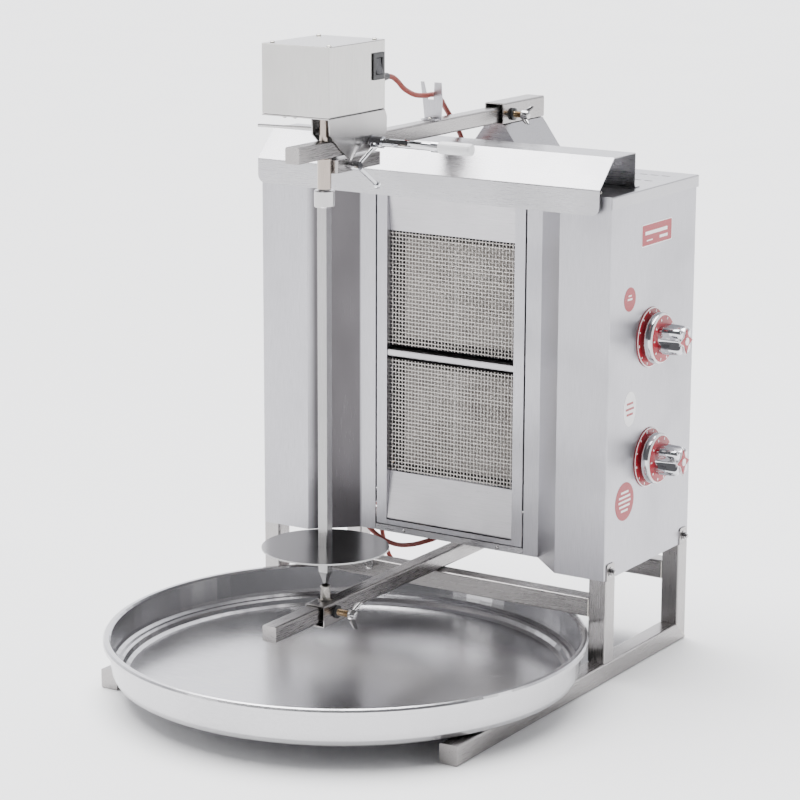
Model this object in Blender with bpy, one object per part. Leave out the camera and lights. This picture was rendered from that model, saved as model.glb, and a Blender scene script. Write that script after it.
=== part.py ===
"""Tabletop vertical broiler with a motor-driven spit, two gas burners and a drip tray.

Units are metres.  +X is the knob side, -Y is the front (the spit side) and +Z is up.
The origin is on the floor, in the middle of the footprint.
"""

import math

import bmesh
import bpy
from mathutils import Vector

# ---------------------------------------------------------------- driving dimensions
GAP = 0.0003                # clearance left between pieces that touch
SHEET = 0.0012              # body sheet thickness

TUBE = 0.025                # square tube of the stand
TUBE_WALL = 0.0015
TUBE_EDGE = 0.0022          # corner rounding of the square tubes
BASE_HALF = 0.264           # half width over the runners
BASE_FRONT = -0.243
BASE_BACK = 0.345
FRONT_POST_Y = 0.117        # front face of the front posts
CROSSBAR_Z = 0.084          # underside of both crossbars
TAB_TOP = 0.156             # top of the bolted tabs on the posts

BODY_BOTTOM = 0.135
BODY_TOP = 0.6255
BODY_HALF = 0.2624          # outer half width of the side panels
BODY_FRONT = 0.115
BODY_BACK = 0.348
FLANGE_IN = 0.190           # inner edge of the front flanges
RECESS_IN = 0.137           # where the slanted walls meet the burner plane
STRIP_IN = 0.115            # inner edge of the side panels' strips
RECESS_Y = 0.165            # burner plane
TOP_SKIRT = 0.0155          # depth of the top panel's down-turned edge

OPENING_HALF = 0.097        # half width of the burner opening
FRAME_HALF = 0.1125         # outer half width of the burner frame
BURNER_HALF = 0.0955
BURNER_HEIGHT = 0.1525
BURNER_Z = (0.2950, 0.4670)  # centre heights of the lower and the upper burner
BURNER_DEPTH = 0.045

HOOD_X = (-0.2620, 0.2495)
ARM = 0.020                 # square tube of the two arms
ARM_WALL = 0.0015
ARM_X = 0.003               # centre line of the arms and of the spit
UPPER_ARM_Z = 0.6832        # underside of the upper arm
UPPER_ARM_Y = (-0.198, 0.378)
LOWER_ARM_Z = 0.1093
LOWER_ARM_Y = (-0.252, 0.343)
SLEEVE = 0.028              # square sleeve that an arm slides in
SLEEVE_X = ARM_X + 0.0015
SLEEVE_Y = (0.266, 0.374)
SPIT_Y = -0.1305

MOTOR_X = (-0.0815, 0.0163)
MOTOR_Y = (-0.1395, -0.0165)
MOTOR_Z = (0.7315, 0.8165)
SADDLE_PLATE = 0.0015
SADDLE_GAP = 0.0235         # inside width between the saddle's cheeks

SPIT_SIDE = 0.013
DISK_Z = 0.1995
DISK_R = 0.079
COLLAR_Z = (0.6240, 0.6446)
SLIDER_HALF_LENGTH = 0.026

TRAY_X = -0.001
TRAY_Y = -0.0785
TRAY_R = 0.3055
TRAY_BOTTOM_R = 0.281
TRAY_Z = (TUBE + GAP, 0.078)

KNOB_Y = 0.227
KNOB_Z = (0.2745, 0.4320)
PANEL_X = BODY_HALF

CORD_R = 0.00325
FLOOR_CORD_Z = CORD_R + GAP
COIL_X = -0.090
COIL_Y = 0.365
COIL_R = 0.036              # middle of the turns
COIL_HALF_WIDTH = 0.0066
COIL_HEIGHT = 0.0135

# ---------------------------------------------------------------- materials
FINISHES = {
    "brushed_steel": ((0.62, 0.61, 0.61), 0.34, 1.0),
    "polished_steel": ((0.70, 0.70, 0.71), 0.12, 1.0),
    "tube_steel": ((0.55, 0.53, 0.52), 0.32, 1.0),
    "dark_steel": ((0.16, 0.15, 0.15), 0.45, 1.0),
    "mesh_steel": ((0.42, 0.40, 0.38), 0.40, 1.0),
    "ceramic": ((0.62, 0.57, 0.50), 0.90, 0.0),
    "brass": ((0.72, 0.55, 0.32), 0.30, 1.0),
    "chrome": ((0.80, 0.80, 0.82), 0.08, 1.0),
    "black_plastic": ((0.03, 0.03, 0.03), 0.40, 0.0),
    "red_plastic": ((0.62, 0.05, 0.08), 0.35, 0.0),
    "white_plastic": ((0.88, 0.88, 0.88), 0.30, 0.0),
    "cord_rubber": ((0.45, 0.12, 0.09), 0.55, 0.0),
}


def clear_scene():
    for item in list(bpy.data.objects):
        bpy.data.objects.remove(item, do_unlink=True)


def finish_material(name):
    """A Principled material of its own for one sub-part."""
    def make(part_name):
        colour, roughness, metallic = FINISHES[name]
        material = bpy.data.materials.new(part_name + "_" + name)
        material.use_nodes = True
        shader = material.node_tree.nodes["Principled BSDF"]
        shader.inputs["Base Color"].default_value = (*colour, 1.0)
        shader.inputs["Roughness"].default_value = roughness
        shader.inputs["Metallic"].default_value = metallic
        return material
    return make


# ---------------------------------------------------------------- modelling helpers
def place_mesh(name, bm, finish, smooth_angle=None, origin=(0, 0, 0)):
    """Turn a bmesh into a linked object whose origin is at the given point."""
    bmesh.ops.remove_doubles(bm, verts=bm.verts, dist=1e-6)
    bmesh.ops.recalc_face_normals(bm, faces=bm.faces)
    shift = Vector(origin)
    for vert in bm.verts:
        vert.co -= shift
    mesh = bpy.data.meshes.new(name)
    bm.to_mesh(mesh)
    bm.free()
    if smooth_angle is not None:
        mesh.shade_smooth()
        mesh.set_sharp_from_angle(angle=math.radians(smooth_angle))
    item = bpy.data.objects.new(name, mesh)
    item.location = shift
    bpy.context.scene.collection.objects.link(item)
    if finish:
        mesh.materials.append(finish_material(finish)(name))
    return item


AXES = {"X": (1, 2, 0), "Y": (0, 2, 1), "Z": (0, 1, 2)}


def along(axis, first, second, offset):
    """A point from its two in-plane coordinates and its place along an axis."""
    order = AXES[axis]
    point = [0.0, 0.0, 0.0]
    point[order[0]] = first
    point[order[1]] = second
    point[order[2]] = offset
    return Vector(point)


def prism(name, outline, axis, low, high, finish, smooth_angle=None, origin=(0, 0, 0)):
    """Extrude a closed outline along an axis.

    The outline's pairs are (y, z) for X, (x, z) for Y and (x, y) for Z.
    """
    bm = bmesh.new()
    bottom = [bm.verts.new(along(axis, a, b, low)) for a, b in outline]
    top = [bm.verts.new(along(axis, a, b, high)) for a, b in outline]
    bm.faces.new(bottom)
    bm.faces.new(list(reversed(top)))
    count = len(outline)
    for i in range(count):
        j = (i + 1) % count
        bm.faces.new((bottom[i], bottom[j], top[j], top[i]))
    return place_mesh(name, bm, finish, smooth_angle, origin)


def rectangle(low_a, low_b, high_a, high_b):
    return [(low_a, low_b), (high_a, low_b), (high_a, high_b), (low_a, high_b)]


def rounded(corners, radius, steps=3):
    """Replace each corner of a closed outline with an arc."""
    result = []
    count = len(corners)
    for i in range(count):
        result += corner_arc(corners[i - 1], corners[i], corners[(i + 1) % count], radius, steps)
    return result


def corner_arc(before, corner, after, radius, steps):
    point = Vector(corner)
    to_before = (Vector(before) - point).normalized()
    to_after = (Vector(after) - point).normalized()
    half = to_before.angle(to_after) / 2
    reach = radius / math.tan(half)
    centre = point + (to_before + to_after).normalized() * (radius / math.sin(half))
    start = point + to_before * reach - centre
    end = point + to_after * reach - centre
    turn = start.angle_signed(end)
    arc = []
    for k in range(steps + 1):
        angle = -turn * k / steps
        spun = Vector((start.x * math.cos(angle) - start.y * math.sin(angle),
                       start.x * math.sin(angle) + start.y * math.cos(angle)))
        arc.append(tuple(centre + spun))
    return arc


def folded_sheet(path, thickness, bend=0.0015, steps=2):
    """The closed outline of a bent sheet whose one face follows the path.

    The sheet's thickness lies to the right of the path.
    """
    smooth = [path[0]]
    for i in range(1, len(path) - 1):
        smooth += corner_arc(path[i - 1], path[i], path[i + 1], bend, steps)
    smooth.append(path[-1])
    points = [Vector(p) for p in smooth]
    normals = []
    for a, b in zip(points, points[1:]):
        run = (b - a).normalized()
        normals.append(Vector((run.y, -run.x)))
    other = [points[0] + normals[0] * thickness]
    for i in range(1, len(points) - 1):
        mean = (normals[i - 1] + normals[i]).normalized()
        other.append(points[i] + mean * (thickness / mean.dot(normals[i])))
    other.append(points[-1] + normals[-1] * thickness)
    return [tuple(p) for p in points] + [tuple(p) for p in reversed(other)]


def turned(name, profile, axis, centre, finish, segments=24, smooth_angle=35, lobes=0):
    """A closed turned solid along an axis.

    Each profile entry is (place along the axis, radius) or (place, radius, lobe depth).
    The first and the last ring are closed with flat caps.
    """
    bm = bmesh.new()
    rings = []
    for entry in profile:
        depth = entry[2] if len(entry) > 2 else 0.0
        ring = []
        for k in range(segments):
            angle = 2 * math.pi * k / segments
            radius = entry[1] - depth * (0.5 - 0.5 * math.cos(lobes * angle))
            ring.append(bm.verts.new(along(axis, radius * math.cos(angle),
                                           radius * math.sin(angle), entry[0])))
        rings.append(ring)
    for low, high in zip(rings, rings[1:]):
        for k in range(segments):
            j = (k + 1) % segments
            bm.faces.new((low[k], low[j], high[j], high[k]))
    bm.faces.new(rings[0])
    bm.faces.new(rings[-1])
    for vert in bm.verts:
        vert.co += Vector(centre)
    return place_mesh(name, bm, finish, smooth_angle, centre)


def ring_solid(name, profile, centre, finish, segments):
    """A closed profile of (radius, height) pairs turned a full circle about Z."""
    bm = bmesh.new()
    rings = []
    for k in range(segments):
        angle = 2 * math.pi * k / segments
        rings.append([bm.verts.new((centre[0] + r * math.cos(angle),
                                    centre[1] + r * math.sin(angle), z))
                      for r, z in profile])
    count = len(profile)
    for k in range(segments):
        here = rings[k]
        there = rings[(k + 1) % segments]
        for i in range(count):
            j = (i + 1) % count
            bm.faces.new((here[i], here[j], there[j], there[i]))
    return place_mesh(name, bm, finish, 35, centre)


def box(name, low, high, finish, edge=0.0, steps=2, origin=(0, 0, 0)):
    item = prism(name, rectangle(low[0], low[1], high[0], high[1]), "Z", low[2], high[2],
                 finish, None, origin)
    if edge:
        round_edges(item, edge, steps)
    return item


def round_edges(item, width, steps=2):
    bevel = item.modifiers.new("edges", "BEVEL")
    bevel.width = width
    bevel.segments = steps
    bevel.limit_method = "ANGLE"
    bevel.angle_limit = math.radians(40)


def helper(item):
    """Keep a cutting or joining shape out of the built parts."""
    item.hide_render = True
    item.display_type = "WIRE"
    return item


def boolean(target, tool, operation):
    step = target.modifiers.new(operation.lower(), "BOOLEAN")
    step.operation = operation
    step.solver = "EXACT"
    step.object = helper(tool)


def cut(target, tool):
    boolean(target, tool, "DIFFERENCE")


def join(target, tool):
    boolean(target, tool, "UNION")


def cut_round(target, axis, centre, radius, low, high, segments=16):
    """Drill a round hole; low and high are places along the axis."""
    order = AXES[axis]
    base = [0.0, 0.0, 0.0]
    base[order[0]] = centre[0]
    base[order[1]] = centre[1]
    tool = turned(target.name + "_drill", [(low, radius), (high, radius)], axis, base, None, segments)
    cut(target, tool)


def cut_box(target, low, high):
    cut(target, box(target.name + "_cutter", low, high, None))


def square_tube(name, axis, low, high, corner, side, wall, finish, closed_low=False, closed_high=False):
    """A hollow square tube; corner is the lowest corner of its section."""
    a, b = corner
    outer = rounded(rectangle(a, b, a + side, b + side), TUBE_EDGE)
    item = prism(name, outer, axis, low, high, finish, 50)
    inside = rectangle(a + wall, b + wall, a + side - wall, b + side - wall)
    start = low + wall if closed_low else low - wall
    end = high - wall if closed_high else high + wall
    cut(item, prism(name + "_bore", inside, axis, start, end, None))
    return item


# ---------------------------------------------------------------- stand
def make_runner(side, name):
    """A floor runner with a capped front end and a mitred back end."""
    low = min(side * (BASE_HALF - TUBE), side * BASE_HALF)
    item = square_tube(name, "Y", BASE_FRONT, BASE_BACK, (low, 0), TUBE, TUBE_WALL,
                       "tube_steel", closed_low=True)
    seam = BASE_BACK - GAP
    wedge = [(seam + 0.004, -0.004), (seam - TUBE - 0.004, TUBE + 0.004), (seam + 0.01, TUBE + 0.004)]
    cut(item, prism(name + "_mitre", wedge, "X", low - 0.005, low + TUBE + 0.005, None))


def make_post(side, front_y, mitred, name):
    """An upright with a tab at the top of its outer face, bolted to the body."""
    low = min(side * (BASE_HALF - TUBE), side * BASE_HALF)
    top = BODY_BOTTOM - GAP
    bottom = GAP * 2 if mitred else TUBE + GAP
    item = square_tube(name, "Z", bottom, top, (low, front_y), TUBE, TUBE_WALL, "tube_steel")
    if mitred:
        seam = BASE_BACK + GAP
        wedge = [(seam + 0.004, -0.004), (seam - TUBE - 0.004, TUBE + 0.004), (seam - TUBE - 0.004, -0.004)]
        cut(item, prism(name + "_mitre", wedge, "X", low - 0.005, low + TUBE + 0.005, None))
    tab_low, tab_high = sorted((side * (BODY_HALF + GAP), side * (BASE_HALF - 0.0002)))
    margin = 0.0024
    tab_outline = rounded(rectangle(front_y + margin, top - 0.010, front_y + TUBE - margin, TAB_TOP), 0.004)
    join(item, prism(name + "_tab", tab_outline, "X", tab_low, tab_high, None))
    cut_round(item, "X", (front_y + TUBE / 2, TAB_TOP - 0.011), 0.0032,
              tab_low - 0.003, tab_high + 0.003, 12)


def make_stand():
    for side, word in ((-1, "left"), (1, "right")):
        make_runner(side, word + "_runner")
        make_post(side, FRONT_POST_Y, False, "front_" + word + "_post")
        make_post(side, BASE_BACK - TUBE, True, "rear_" + word + "_post")
    reach = BASE_HALF - TUBE - GAP
    for word, front_y in (("front", FRONT_POST_Y), ("rear", BASE_BACK - TUBE)):
        square_tube(word + "_crossbar", "X", -reach, reach, (front_y, CROSSBAR_Z),
                    TUBE, TUBE_WALL, "tube_steel")


def make_tray():
    """A spun tray with an upright wall, a rolled rim and a step round its floor."""
    low, high = TRAY_Z
    wall = 0.0012
    rim_in = TRAY_R - 0.0085
    foot = TRAY_BOTTOM_R
    profile = [(0.0, low), (foot - 0.002, low), (foot + 0.005, low + 0.0012), (foot + 0.0115, low + 0.0050),
               (foot + 0.0143, low + 0.0110), (foot + 0.0152, low + 0.0180), (rim_in, high - 0.0040),
               (TRAY_R - 0.003, high - 0.0040), (TRAY_R - 0.001, high - 0.0085), (TRAY_R, high - 0.0080),
               (TRAY_R, high - 0.0032), (TRAY_R - 0.002, high - 0.0008), (TRAY_R - 0.0045, high),
               (rim_in + 0.001, high - 0.0006), (rim_in - 0.0014, high - 0.0030),
               (foot + 0.0138, low + 0.0190), (foot + 0.0125, low + 0.0145), (foot + 0.0085, low + 0.0118),
               (foot + 0.0045, low + 0.0112), (foot + 0.0015, low + 0.0090), (foot - 0.0015, low + 0.0040),
               (foot - 0.0065, low + wall), (0.0, low + wall)]
    bm = bmesh.new()
    segments = 88
    centre = Vector((TRAY_X, TRAY_Y, 0))
    rings = []
    for k in range(segments):
        angle = 2 * math.pi * k / segments
        rings.append([bm.verts.new(centre + Vector((r * math.cos(angle), r * math.sin(angle), z)))
                      for r, z in profile])
    for k in range(segments):
        here = rings[k]
        there = rings[(k + 1) % segments]
        for i in range(len(profile) - 1):
            bm.faces.new((here[i], here[i + 1], there[i + 1], there[i]))
    bmesh.ops.remove_doubles(bm, verts=bm.verts, dist=1e-6)
    place_mesh("drip_tray", bm, "polished_steel", 35, (TRAY_X, TRAY_Y, low))


# ---------------------------------------------------------------- body
def make_side_panel(side, name):
    """One bent sheet: burner strip, slanted wall, front flange, side and back return."""
    path = [(STRIP_IN, RECESS_Y), (RECESS_IN, RECESS_Y), (FLANGE_IN, BODY_FRONT),
            (BODY_HALF, BODY_FRONT), (BODY_HALF, BODY_BACK - GAP), (BODY_HALF - 0.018, BODY_BACK - GAP)]
    path = [(side * x, y) for x, y in path]
    if side > 0:
        outline = folded_sheet([(x, y) for x, y in path], -SHEET)
    else:
        outline = folded_sheet(path, SHEET)
    item = prism(name, outline, "Z", BODY_BOTTOM, BODY_TOP - SHEET - GAP, "brushed_steel", 40)
    if side > 0:
        for height in KNOB_Z:
            cut_round(item, "X", (KNOB_Y, height), 0.0085, PANEL_X - 0.01, PANEL_X + 0.01, 16)


def panel_outline(half, front, back, recess_y, inset):
    """The body's plan outline with its burner recess."""
    return [(-half, front), (-FLANGE_IN - inset, front), (-RECESS_IN - inset, recess_y),
            (RECESS_IN + inset, recess_y), (FLANGE_IN + inset, front), (half, front),
            (half, back), (-half, back)]


def make_body_shell():
    make_side_panel(-1, "left_side_panel")
    make_side_panel(1, "right_side_panel")

    inner_half = BODY_HALF - SHEET - GAP
    back_y = BODY_BACK - GAP - SHEET - GAP
    back = prism("back_panel", rectangle(-inner_half + 0.002, BODY_BOTTOM + 0.002,
                                         inner_half - 0.002, BODY_TOP - SHEET - 0.002),
                 "Y", back_y - SHEET, back_y, "brushed_steel")
    for row in range(4):
        for column in (-1, 1):
            slot_x = column * 0.11
            slot_z = 0.47 + row * 0.028
            cut_box(back, (slot_x - 0.045, back_y - 0.005, slot_z), (slot_x + 0.045, back_y + 0.005, slot_z + 0.006))
    cut_round(back, "Y", (-0.16, 0.208), 0.0135, back_y - 0.01, back_y + 0.01, 16)

    make_top_panel()
    make_bottom_panel()


def make_top_panel():
    """The slotted lid with down-turned edges outside the side panels."""
    half = BODY_HALF + GAP + SHEET
    skirt = BODY_TOP - TOP_SKIRT
    path = [(-half, skirt), (-half, BODY_TOP), (half, BODY_TOP), (half, skirt)]
    top = prism("top_panel", folded_sheet(path, SHEET), "Y", BODY_FRONT,
                BODY_BACK + GAP + SHEET + 0.0002, "brushed_steel", 40)
    notch = [(-FLANGE_IN, BODY_FRONT - 0.01), (-FLANGE_IN, BODY_FRONT), (-RECESS_IN, RECESS_Y - SHEET),
             (RECESS_IN, RECESS_Y - SHEET), (FLANGE_IN, BODY_FRONT), (FLANGE_IN, BODY_FRONT - 0.01)]
    cut(top, prism("top_panel_notch", notch, "Z", BODY_TOP - 0.01, BODY_TOP + 0.01, None))
    edge_y = BODY_BACK + GAP
    lip = prism("top_panel_lip", rectangle(-half + SHEET / 2, skirt + 0.0002, half - SHEET / 2, BODY_TOP - SHEET / 2),
                "Y", edge_y, edge_y + SHEET, None)
    join(top, lip)
    slot_long, slot_wide = 0.011, 0.0035
    for side in (-1, 1):
        for row in range(3):
            for step in range(4):
                x = side * (0.186 + 0.016 * step)
                y = 0.216 + 0.048 * row
                cut_box(top, (x - slot_long / 2, y, BODY_TOP - 0.01), (x + slot_long / 2, y + slot_wide, BODY_TOP + 0.01))


def make_bottom_panel():
    """The floor plate with an up-turned lip below the burner opening."""
    half = BODY_HALF - SHEET - GAP
    front = BODY_FRONT + SHEET + GAP
    back = BODY_BACK - GAP - SHEET - GAP - SHEET - GAP
    outline = panel_outline(half - 0.001, front, back, RECESS_Y + SHEET + GAP, 0.002)
    bottom = prism("bottom_panel", outline, "Z", BODY_BOTTOM, BODY_BOTTOM + SHEET, "brushed_steel")
    lip_y = RECESS_Y
    lip = box("bottom_panel_lip", (-STRIP_IN + GAP * 2, lip_y, BODY_BOTTOM),
              (STRIP_IN - GAP * 2, lip_y + SHEET * 1.6, BODY_BOTTOM + 0.0085), None)
    join(bottom, lip)
    for side in (-1, 1):
        cut_box(bottom, (side * 0.15 - 0.04, 0.22, BODY_BOTTOM - 0.01), (side * 0.15 + 0.04, 0.30, BODY_BOTTOM + 0.01))


def make_hood():
    """The bent duct over the top front edge, open at both ends."""
    front, back = 0.106, 0.200
    foot = BODY_TOP + GAP + SHEET
    path = [(front, 0.6020), (front, 0.634), (0.143, 0.6705), (back, 0.6705),
            (back, foot), (back + 0.012, foot)]
    outline = folded_sheet(path, SHEET, 0.002, 3)
    hood = prism("hood", outline, "X", *HOOD_X, "brushed_steel", 40)
    lip_cut = 0.011
    for side, end in zip((-1, 1), HOOD_X):
        corner = [(end + side * 0.002, 0.596), (end - side * lip_cut, 0.596)]
        for k in range(5):
            angle = math.pi / 2 * k / 4
            corner.append((end + side * lip_cut * (math.sin(angle) - 1),
                           0.6020 + lip_cut * (1 - math.cos(angle))))
        corner.append((end + side * 0.002, 0.6020 + lip_cut))
        cut(hood, prism("hood_corner", corner, "Y", front - 0.003, front + 0.003, None))


# ---------------------------------------------------------------- burners and gas line
def make_burner_frame():
    """The flat frame round the burner opening, with strips down both sides."""
    low, high = 0.1450, BODY_TOP - SHEET - GAP * 2
    y = RECESS_Y
    frame = box("burner_frame", (-FRAME_HALF, y, low), (FRAME_HALF, y + SHEET, high), "brushed_steel")
    cut_box(frame, (-OPENING_HALF, y - 0.01, 0.1515), (OPENING_HALF, y + 0.01, 0.605))
    for side in (-1, 1):
        low_x, high_x = sorted((side * OPENING_HALF, side * (OPENING_HALF + SHEET)))
        flange = box("frame_flange", (low_x, y + SHEET / 2, 0.155), (high_x, y + 0.012, 0.600), None)
        join(frame, flange)


def make_reflectors():
    """Bent shields above and below the burners, and the bar between them."""
    half = OPENING_HALF - GAP
    y = RECESS_Y + GAP
    burner_y = RECESS_Y + 0.0085
    top_edge = BURNER_Z[1] + BURNER_HEIGHT / 2 + 0.001
    bottom_edge = BURNER_Z[0] - BURNER_HEIGHT / 2 - 0.001
    upper = [(burner_y, top_edge), (y + 0.002, 0.6045), (y + 0.030, 0.6045)]
    prism("upper_reflector", folded_sheet(upper, SHEET), "X", -half, half, "brushed_steel", 40)
    lower = [(y + 0.030, 0.1525), (y + 0.0005, 0.1525), (burner_y, bottom_edge)]
    prism("lower_reflector", folded_sheet(lower, SHEET), "X", -half, half, "brushed_steel", 40)
    middle = (BURNER_Z[0] + BURNER_Z[1]) / 2
    bar = [(burner_y + 0.010, middle + 0.0045), (y + 0.001, middle + 0.0045),
           (y + 0.001, middle - 0.0045), (burner_y + 0.010, middle - 0.0045)]
    prism("divider_bar", folded_sheet(bar, -SHEET), "X", -half, half, "brushed_steel", 40)


def make_burner(word, centre_z):
    """One radiant burner: gas box, ceramic tiles and wire screen."""
    half_z = BURNER_HEIGHT / 2
    screen_y = RECESS_Y + 0.0090
    tile_y = screen_y + 0.0055
    box_y = tile_y + 0.0125
    box(word + "_screen", (-BURNER_HALF, screen_y, centre_z - half_z),
        (BURNER_HALF, screen_y + 0.0014, centre_z + half_z), "mesh_steel")
    box(word + "_tiles", (-BURNER_HALF, tile_y, centre_z - half_z + 0.001),
        (BURNER_HALF, box_y - GAP, centre_z + half_z - 0.001), "ceramic", 0.0008, 1)
    back_y = box_y + BURNER_DEPTH
    shell = box(word + "_burner_box", (-BURNER_HALF, box_y, centre_z - half_z + 0.001),
                (BURNER_HALF, back_y, centre_z + half_z - 0.001), "dark_steel", 0.003, 2)
    wall = 0.0015
    cut_box(shell, (-BURNER_HALF + wall, box_y - 0.01, centre_z - half_z + 0.001 + wall),
            (BURNER_HALF - wall, back_y - wall, centre_z + half_z - 0.001 - wall))
    venturi = turned(word + "_venturi", [(BURNER_HALF - wall, 0.013), (BURNER_HALF + 0.030, 0.013),
                                         (BURNER_HALF + 0.042, 0.016)],
                     "X", (0, box_y + 0.022, centre_z), None, 20)
    join(shell, venturi)
    bore = turned(word + "_bore", [(BURNER_HALF - 0.006, 0.0115), (BURNER_HALF + 0.030, 0.0115),
                                   (BURNER_HALF + 0.044, 0.0150)],
                  "X", (0, box_y + 0.022, centre_z), None, 20)
    cut(shell, bore)


def make_gas_line():
    """Supply pipe from the back panel, with one valve behind each knob."""
    pipe_x, pipe_y = 0.222, 0.262
    low, high = 0.200, KNOB_Z[1] + 0.030
    pipe = turned("gas_manifold", [(low, 0.0075), (high, 0.0075)], "Z", (pipe_x, pipe_y, 0), "brass", 16)
    cross = turned("manifold_cross", [(-0.16, 0.0060), (pipe_x, 0.0060)], "X", (0, pipe_y, low + 0.008), None, 16)
    join(pipe, cross)
    inlet_y = BODY_BACK + 0.016
    inlet = turned("manifold_inlet", [(pipe_y, 0.0075), (0.325, 0.0075), (0.3252, 0.0105),
                                      (inlet_y - 0.0002, 0.0105), (inlet_y, 0.0098)],
                   "Y", (-0.16, 0, low + 0.008), None, 16)
    join(pipe, inlet)
    for word, height in zip(("lower", "upper"), KNOB_Z):
        body_low, body_high = PANEL_X - 0.034, PANEL_X - SHEET - GAP
        valve = turned(word + "_gas_valve",
                       [(body_low, 0.0110), (body_high - 0.006, 0.0110), (body_high - 0.006, 0.0140),
                        (body_high, 0.0140)],
                       "X", (0, KNOB_Y, height), "brass", 20)
        branch = turned(word + "_valve_branch", [(KNOB_Y, 0.0055), (pipe_y - 0.0075 - GAP, 0.0055)],
                        "Y", (pipe_x + 0.015, 0, height), None, 14)
        join(valve, branch)
        cut_round(valve, "X", (KNOB_Y, height), 0.0045, PANEL_X - 0.022, PANEL_X + 0.01, 16)


def make_knob(word, height):
    """A flat marked dial on the panel and a four-lobed turning knob with its stem."""
    face = PANEL_X + GAP
    dial = turned(word + "_dial", [(face, 0.0390), (face + 0.0012, 0.0390)],
                  "X", (0, KNOB_Y, height), "red_plastic", 36)
    cut_round(dial, "X", (KNOB_Y, height), 0.0085, face - 0.01, face + 0.01, 16)
    base = PANEL_X + 0.0070
    profile = [(PANEL_X - 0.016, 0.0040), (base, 0.0040), (base, 0.0330), (base + 0.0060, 0.0330), (base + 0.0095, 0.0305), (base + 0.0095, 0.0235, 0.004),
               (base + 0.0290, 0.0220, 0.007), (base + 0.0345, 0.0200, 0.007),
               (base + 0.0350, 0.0135), (base + 0.0440, 0.0135), (base + 0.0466, 0.0105)]
    turned(word + "_knob", profile, "X", (0, KNOB_Y, height), "chrome", 32, 30, 4)


# ---------------------------------------------------------------- arms and their clamps
def make_wing_screw(name, start, length, span, tilt, axis_sign, finish):
    """A thumb screw along X: washer, shank, hub and two curved wings."""
    x, y, z = start
    profile = [(x, 0.0080), (x + 0.0030, 0.0080), (x + 0.0030, 0.0042), (x + length, 0.0042),
               (x + length, 0.0062), (x + length + 0.0090, 0.0048)]
    screw = turned(name, profile, "X", (0, y, z), finish, 16)
    for turn in (0, math.pi):
        outline = []
        for k in range(7):
            reach = 0.003 + (span / 2 - 0.003) * k / 6
            sweep = 0.0015 + 0.0105 * (k / 6) ** 1.6
            outline.append((reach, sweep))
        wing = outline + [(r + 0.0022, s - 0.0052) for r, s in reversed(outline)]
        bm = bmesh.new()
        direction = Vector((0, math.sin(tilt + turn), math.cos(tilt + turn)))
        across = Vector((0, math.cos(tilt + turn), -math.sin(tilt + turn))) * 0.0024
        hub = Vector((x + length + 0.0035, y, z))
        sides = []
        for offset in (-1, 1):
            sides.append([bm.verts.new(hub + direction * r + Vector((s, 0, 0)) + across * offset)
                          for r, s in wing])
        bm.faces.new(sides[0])
        bm.faces.new(list(reversed(sides[1])))
        for i in range(len(wing)):
            j = (i + 1) % len(wing)
            bm.faces.new((sides[0][i], sides[0][j], sides[1][j], sides[1][i]))
        join(screw, place_mesh(name + "_wing", bm, None))
    return screw


def make_arms():
    half = ARM / 2
    corner_x = ARM_X - half
    upper = square_tube("upper_arm", "Y", *UPPER_ARM_Y, (corner_x, UPPER_ARM_Z), ARM, ARM_WALL,
                        "tube_steel", closed_low=True)
    cut_round(upper, "Z", (ARM_X, SPIT_Y), 0.0068, UPPER_ARM_Z - 0.01, UPPER_ARM_Z + ARM + 0.01, 20)
    square_tube("lower_arm", "Y", *LOWER_ARM_Y, (corner_x, LOWER_ARM_Z), ARM, ARM_WALL,
                "tube_steel", closed_low=True)

    sleeve_corner = SLEEVE_X - SLEEVE / 2
    sleeve = square_tube("arm_sleeve", "Y", *SLEEVE_Y, (sleeve_corner, UPPER_ARM_Z - 0.0018), SLEEVE,
                         ARM_WALL, "tube_steel")
    screw_y = SLEEVE_Y[0] + 0.024
    screw_z = UPPER_ARM_Z + half
    wall_x = SLEEVE_X + SLEEVE / 2
    cut_round(sleeve, "X", (screw_y, screw_z), 0.0045, wall_x - 0.004, wall_x + 0.004, 16)
    make_wing_screw("sleeve_wing_screw", (wall_x + GAP, screw_y, screw_z), 0.013, 0.026, 0.5, 1, "brass")

    slider_y = (SPIT_Y - SLIDER_HALF_LENGTH, SPIT_Y + SLIDER_HALF_LENGTH)
    slider_bottom = LOWER_ARM_Z - 0.0056
    slider = square_tube("bearing_slider", "Y", *slider_y, (sleeve_corner, slider_bottom), SLEEVE,
                         ARM_WALL, "tube_steel")
    clamp_z = LOWER_ARM_Z + half - 0.0005
    cut_round(slider, "X", (SPIT_Y, clamp_z), 0.0045, wall_x - 0.004, wall_x + 0.004, 16)
    make_wing_screw("slider_wing_screw", (wall_x + GAP, SPIT_Y, clamp_z), 0.019, 0.034, 0.35, 1, "brass")

    post_z = slider_bottom + SLEEVE + GAP
    post = turned("bearing_post", [(post_z, 0.0090), (post_z + 0.0015, 0.0090), (post_z + 0.0015, 0.0062),
                                   (0.1490, 0.0062), (0.1505, 0.0055)],
                  "Z", (ARM_X, SPIT_Y, 0), "polished_steel", 20)
    cut_round(post, "Z", (ARM_X, SPIT_Y), 0.0040, 0.1420, 0.1600, 16)

    make_arm_supports()


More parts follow.
